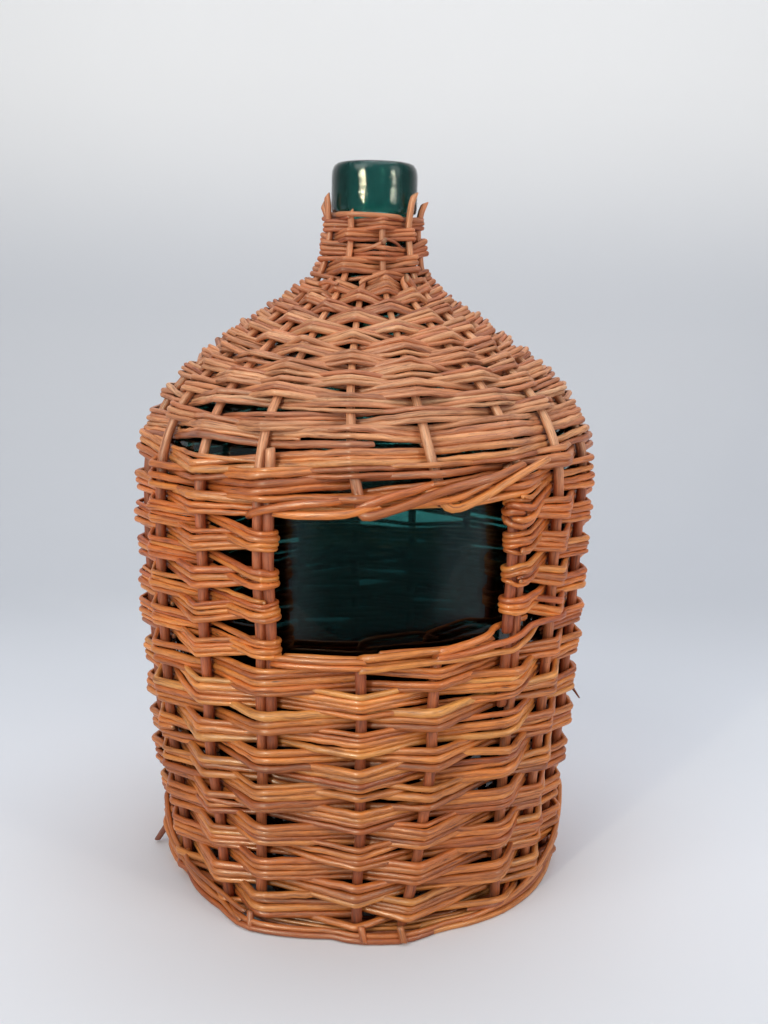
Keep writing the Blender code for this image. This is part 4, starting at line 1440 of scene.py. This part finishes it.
def make_base():
    lift = BASE_STICK_R + 0.2
    end_r = LINE.at(0.0)[0] - 9.0
    mat_r = LINE.at(0.0)[0] - FOOT_IN - 3.0
    fan = 360.0 / BASE_SPOKES
    for group, (count, z0) in enumerate(((3, BASE_MID_Z - lift),
                                         (2, BASE_MID_Z + lift))):
        for j in range(count):
            side = j - (count - 1) / 2.0
            axis = spoke_angle(0) if count == 3 else spoke_angle(2) + fan / 2
            across = around(1.0, 0.0, axis + 90.0)
            along = around(1.0, 0.0, axis)
            pts = []
            for end in (-1, 1):
                d = axis + (180.0 if end < 0 else 0.0)
                d += fan * side * (1 if end > 0 else -1)
                hub = along * (end * 11.0) + across * (
                    side * (2 * BASE_STICK_R + 0.5))
                hub[2] = z0
                part = [hub, around(BASE_HUB_R + 3.0, BASE_MID_Z, d),
                        around(end_r, BASE_MID_Z, d)]
                pts = list(reversed(part)) + pts if end < 0 else pts + part
            path, rad = rounded(np.array(pts), [BASE_STICK_R * 0.97] * 6,
                                delta=6.0, step=9.0, noise=0.05)
            name = "base_stick_%s%d" % ("long" if group == 0 else "cross",
                                        j + 1)
            ob = build("vis_" + name, [Stick(path, rad, None, (0.3, 0.3))],
                       M_BASE)
            place(ob, "base_willow", name)
    for w in range(2):
        sticks = []
        rows = (mat_r - BASE_HUB_R - 6.0) / BASE_ROW
        turns = int((rows - 1.0) / 2.0 * BASE_SPOKES)
        for lane in range(3):
            pts = []
            for k in range(turns + 1):
                u = k / float(BASE_SPOKES)
                r0 = BASE_HUB_R + 6.0 + 2.0 * u * BASE_ROW + 0.25
                rm = r0 + (lane + 0.5) * (BASE_ROW - 0.5) / 3.0
                sign = 1 if k % 2 == 0 else -1
                off = BASE_STICK_R + 0.3 + 1.3
                pts.append(around(rm, BASE_MID_Z + sign * off,
                                  spoke_angle(k + 5 * w)))
            path, rad = rounded(np.array(pts), [1.3] * len(pts), delta=6.0,
                                step=9.0, noise=0.05)
            sticks.append(Stick(path, rad, pick_tone(), (0.3, 0.3), sides=8))
        ob = build("vis_base_weaver_%d" % (w + 1), sticks, M_BASE)
        place(ob, "base_willow", "base_weaver_%d" % (w + 1))


def make_glass():
    outer = [(0.0, 27.6), (22.0, 24.6), (48.0, 19.1), (66.4, 15.2),
             (82.4, 14.6), (90.5, 15.1), (94.9, 16.6), (98.9, 19.2),
             (101.2, 23.1), (103.4, 32.6), (104.4, 46.2), (107.2, 72.0),
             (110.4, 99.3), (112.2, 128.0), (113.6, 157.7), (115.0, 193.0),
             (116.0, 228.6), (115.1, 245.0), (111.5, 258.0), (104.9, 269.8),
             (96.0, 279.5), (84.7, 288.6), (60.0, 306.4), (36.9, 322.6),
             (26.4, 334.0), (23.1, 346.0), (19.2, 356.0), (18.9, 364.0),
             (18.9, 370.8)]
    lip = [(19.6, 372.0), (21.8, 372.7), (23.2, 373.7), (23.7, 376.0),
           (23.8, 383.0), (23.8, 388.0), (23.8, 392.5), (23.6, 395.2),
           (23.0, 397.4), (21.9, 399.1), (20.4, 399.9), (19.2, 400.0),
           (17.9, 400.0), (16.7, 399.5), (15.9, 398.5), (15.5, 396.8)]
    inner = [(15.5, 380.0), (15.5, 352.0), (18.8, 344.6), (23.3, 331.7),
             (34.7, 319.6), (57.4, 303.0), (82.0, 285.0), (93.0, 276.0),
             (101.5, 267.0), (107.6, 256.5), (111.0, 244.0), (112.0, 228.6),
             (111.0, 193.0), (109.6, 158.0), (108.2, 128.0), (106.4, 99.6),
             (103.2, 72.0), (100.4, 46.2), (99.4, 33.0), (91.5, 23.2),
             (73.4, 20.6), (48.0, 24.6), (22.0, 31.4), (0.0, 33.6)]

    def dense(points, per):
        p = [np.array(q, float) for q in points]
        out = []
        for k in range(len(p) - 1):
            a = p[k - 1] if k else 2 * p[0] - p[1]
            b, c = p[k], p[k + 1]
            d = p[k + 2] if k + 2 < len(p) else 2 * p[-1] - p[-2]
            n = max(1, int(np.linalg.norm(c - b) / per))
            # centripetal spacing keeps uneven points from overshooting
            t0 = 0.0
            t1 = t0 + max(1e-6, np.linalg.norm(b - a)) ** 0.5
            t2 = t1 + max(1e-6, np.linalg.norm(c - b)) ** 0.5
            t3 = t2 + max(1e-6, np.linalg.norm(d - c)) ** 0.5
            for m in range(n):
                t = lerp(t1, t2, m / n)
                a1 = (t1 - t) / (t1 - t0) * a + (t - t0) / (t1 - t0) * b
                a2 = (t2 - t) / (t2 - t1) * b + (t - t1) / (t2 - t1) * c
                a3 = (t3 - t) / (t3 - t2) * c + (t - t2) / (t3 - t2) * d
                b1 = (t2 - t) / (t2 - t0) * a1 + (t - t0) / (t2 - t0) * a2
                b2 = (t3 - t) / (t3 - t1) * a2 + (t - t1) / (t3 - t1) * a3
                out.append((t2 - t) / (t2 - t1) * b1
                           + (t - t1) / (t2 - t1) * b2)
        out.append(p[-1])
        return out

    profile = dense(outer, 4.0)[:-1] + dense(lip, 1.2) + dense(inner, 5.0)
    profile = np.array(profile)
    steps = 144
    n = len(profile)
    verts, faces = [], []
    verts.append((0.0, 0.0, profile[0][1]))
    ang = np.arange(steps) * 2 * math.pi / steps
    body = profile[1:-1]
    for m, (r, z) in enumerate(body):
        # blown by mouth: very slightly out of round
        wob = 1.0 + (0.0016 * np.sin(2 * ang + z / 60.0)
                     + 0.0009 * np.sin(3 * ang + z / 37.0)) * clamp(r / 60.0)
        for a, w in zip(ang, wob):
            verts.append((r * w * math.sin(a), -r * w * math.cos(a), z))
    verts.append((0.0, 0.0, profile[-1][1]))
    rows = len(body)
    for k in range(steps):
        faces.append((0, 1 + (k + 1) % steps, 1 + k))
    for m in range(rows - 1):
        for k in range(steps):
            a = 1 + m * steps + k
            b = 1 + m * steps + (k + 1) % steps
            faces.append((a, b, b + steps, a + steps))
    last = len(verts) - 1
    top = 1 + (rows - 1) * steps
    for k in range(steps):
        faces.append((last, top + k, top + (k + 1) % steps))
    mesh = bpy.data.meshes.new("vis_glass_bottle")
    mesh.from_pydata([tuple(c * MM for c in v) for v in verts], [], faces)
    mesh.update()
    mesh.polygons.foreach_set("use_smooth", np.ones(len(mesh.polygons), bool))
    mesh.materials.append(M_GLASS)
    ob = bpy.data.objects.new("vis_glass_bottle", mesh)
    bpy.context.scene.collection.objects.link(ob)
    place(ob, "green_glass", "glass_bottle")


make_glass()
make_base()
make_foot()
make_stakes()
make_weave()
make_window_edges()


# --------------------------------------------------------------- floor, lights
def stage_material(name, colour, shades=None, axis="Z", centre=0.0,
                   rough=0.9, lean=0.0):
    """Plain matt paint; its colour may change slowly along one axis, and
    with lean also backwards along the floor, which paints shade and light
    on a backdrop."""
    mat, tree, shader = nodes_of(name)
    g = Graph(tree)
    place_ = g.new("ShaderNodeTexCoord").outputs["Object"]
    if shades:
        sep = g.new("ShaderNodeSeparateXYZ")
        g.link(place_, sep.inputs[0])
        where = g.maths("ABSOLUTE", g.maths("SUBTRACT", sep.outputs[axis],
                                            centre))
        if lean:
            behind = g.maths("MAXIMUM", sep.outputs["Y"], 0.06)
            where = g.maths("ADD", where, g.maths(
                "MULTIPLY", g.maths("SUBTRACT", behind, 0.06), lean))
        base = g.ramp(where, [(0.0, colour)] + shades, "EASE")
    else:
        base = colour
    tint = g.mix("MULTIPLY", 1.0, base, g.ramp(g.noise(place_, 3.0, 2.0), [
        (0.3, 0.985), (0.7, 1.0)]))
    g.link(tint, shader.inputs["Base Color"])
    shader.inputs["Roughness"].default_value = rough
    shader.inputs["Specular IOR Level"].default_value = 0.15
    return mat


def sweep():
    """Floor that curves up into a back wall."""
    back, bend, top, half = 1.22, 0.64, 3.4, 4.5
    line = [(-3.5, 0.0), (-0.4, 0.0), (back - bend, 0.0)]
    for k in range(1, 17):
        a = math.pi / 2 * k / 16
        line.append((back - bend + bend * math.sin(a),
                     bend - bend * math.cos(a)))
    line.append((back, top))
    verts, faces = [], []
    for y, z in line:
        verts += [(-half, y, z), (half, y, z)]
    for k in range(len(line) - 1):
        a = 2 * k
        faces.append((a, a + 1, a + 3, a + 2))
    mesh = bpy.data.meshes.new("stage_sweep")
    mesh.from_pydata(verts, [], faces)
    mesh.polygons.foreach_set("use_smooth", np.ones(len(faces), bool))
    # painted shade and light: the wall is darker at mid height, as if in shade,
    # and lighter at the top, as if lit; the floor fades backwards into the darker
    # shade
    floor_ = (0.81, 0.85, 0.92)
    mesh.materials.append(stage_material("stage_pale", floor_, [
        (0.002, floor_), (0.13, (0.635, 0.662, 0.715)),
        (0.55, (0.66, 0.683, 0.73)), (0.98, (0.97, 0.975, 0.985))], lean=0.25))
    ob = bpy.data.objects.new("stage_sweep", mesh)
    bpy.context.scene.collection.objects.link(ob)


def flag():
    """A dark screen in front that only mirror reflections meet, so that the
    glass reflects a dim room."""
    mesh = bpy.data.meshes.new("stage_flag")
    y, near = -0.50, -0.14
    verts = [(-1.2, near, 0.001), (1.2, near, 0.001), (1.2, y, 0.001),
             (-1.2, y, 0.001), (1.2, y, 0.36), (-1.2, y, 0.36)]
    mesh.from_pydata(verts, [], [(0, 1, 2, 3), (3, 2, 4, 5)])
    mesh.materials.append(stage_material("stage_dark", (0.046, 0.048, 0.050), [
        (0.20, (0.046, 0.048, 0.050)), (0.42, (0.34, 0.38, 0.42))], "X", 0.06))
    ob = bpy.data.objects.new("stage_flag", mesh)
    bpy.context.scene.collection.objects.link(ob)
    for key in ("visible_camera", "visible_diffuse", "visible_transmission",
                "visible_volume_scatter", "visible_shadow"):
        setattr(ob, key, False)


def card(name, place_, target, wide, tall, strength, colour):
    """A bright window that only glossy reflections meet."""
    d = (Vector(target) - Vector(place_)).normalized()
    side = d.cross(Vector((0.0, 0.0, 1.0))).normalized()
    up = side.cross(d)
    c = Vector(place_)
    verts = [c + side * (x * wide / 2) + up * (y * tall / 2)
             for x, y in ((-1, -1), (1, -1), (1, 1), (-1, 1))]
    mesh = bpy.data.meshes.new(name)
    mesh.from_pydata([tuple(v) for v in verts], [], [(0, 1, 2, 3)])
    mat, tree, shader = nodes_of(name)
    shader.inputs["Base Color"].default_value = (0.0, 0.0, 0.0, 1.0)
    shader.inputs["Emission Color"].default_value = (*colour, 1.0)
    shader.inputs["Emission Strength"].default_value = strength
    mesh.materials.append(mat)
    ob = bpy.data.objects.new(name, mesh)
    bpy.context.scene.collection.objects.link(ob)
    for key in ("visible_camera", "visible_diffuse", "visible_transmission",
                "visible_volume_scatter", "visible_shadow"):
        setattr(ob, key, False)


def area(name, place_, target, size, size_y, power, colour):
    data = bpy.data.lights.new(name, "AREA")
    data.shape = "RECTANGLE"
    data.size, data.size_y = size, size_y
    data.energy = power
    data.color = colour
    ob = bpy.data.objects.new(name, data)
    bpy.context.scene.collection.objects.link(ob)
    ob.location = place_
    d = Vector(target) - Vector(place_)
    ob.rotation_euler = d.to_track_quat("-Z", "Y").to_euler()
    ob.visible_camera = False
    return ob


sweep()
flag()
card("stage_card_left", (-0.86, -1.45, 0.72), (0, 0, 0.38), 0.10, 0.75, 130.0,
     (1.0, 0.92, 0.68))
card("stage_card_right", (1.28, -1.02, 0.72), (0, 0, 0.38), 0.05, 0.75, 60.0,
     (1.0, 0.93, 0.72))
world = bpy.data.worlds.new("studio")
bpy.context.scene.world = world
world.use_nodes = True
world.node_tree.nodes["Background"].inputs["Color"].default_value = (
    0.86, 0.92, 1.0, 1.0)
world.node_tree.nodes["Background"].inputs["Strength"].default_value = 0.26
area("light_key", (-1.1, -1.25, 1.75), (0, 0, 0.2), 1.3, 1.3, 14.8,
     (1.0, 0.97, 0.93))
area("light_top", (0.2, -0.1, 2.1), (0, 0, 0.2), 1.8, 1.4, 10.5,
     (0.97, 0.98, 1.0))
area("light_backdrop", (0.0, 0.45, 2.3), (0, 1.25, 0.55), 2.6, 0.4, 7.0,
     (0.97, 0.98, 1.0))
area("light_right", (1.5, -0.9, 1.2), (0, 0, 0.22), 0.9, 1.3, 7.1,
     (1.0, 0.98, 0.95))
area("light_strip_left", (-0.86, -1.45, 0.72), (0, 0, 0.38), 0.022, 0.7, 5.0,
     (1.0, 0.88, 0.62))
area("light_strip_right", (1.28, -1.02, 0.72), (0, 0, 0.38), 0.018, 0.7, 2.6,
     (1.0, 0.90, 0.70))
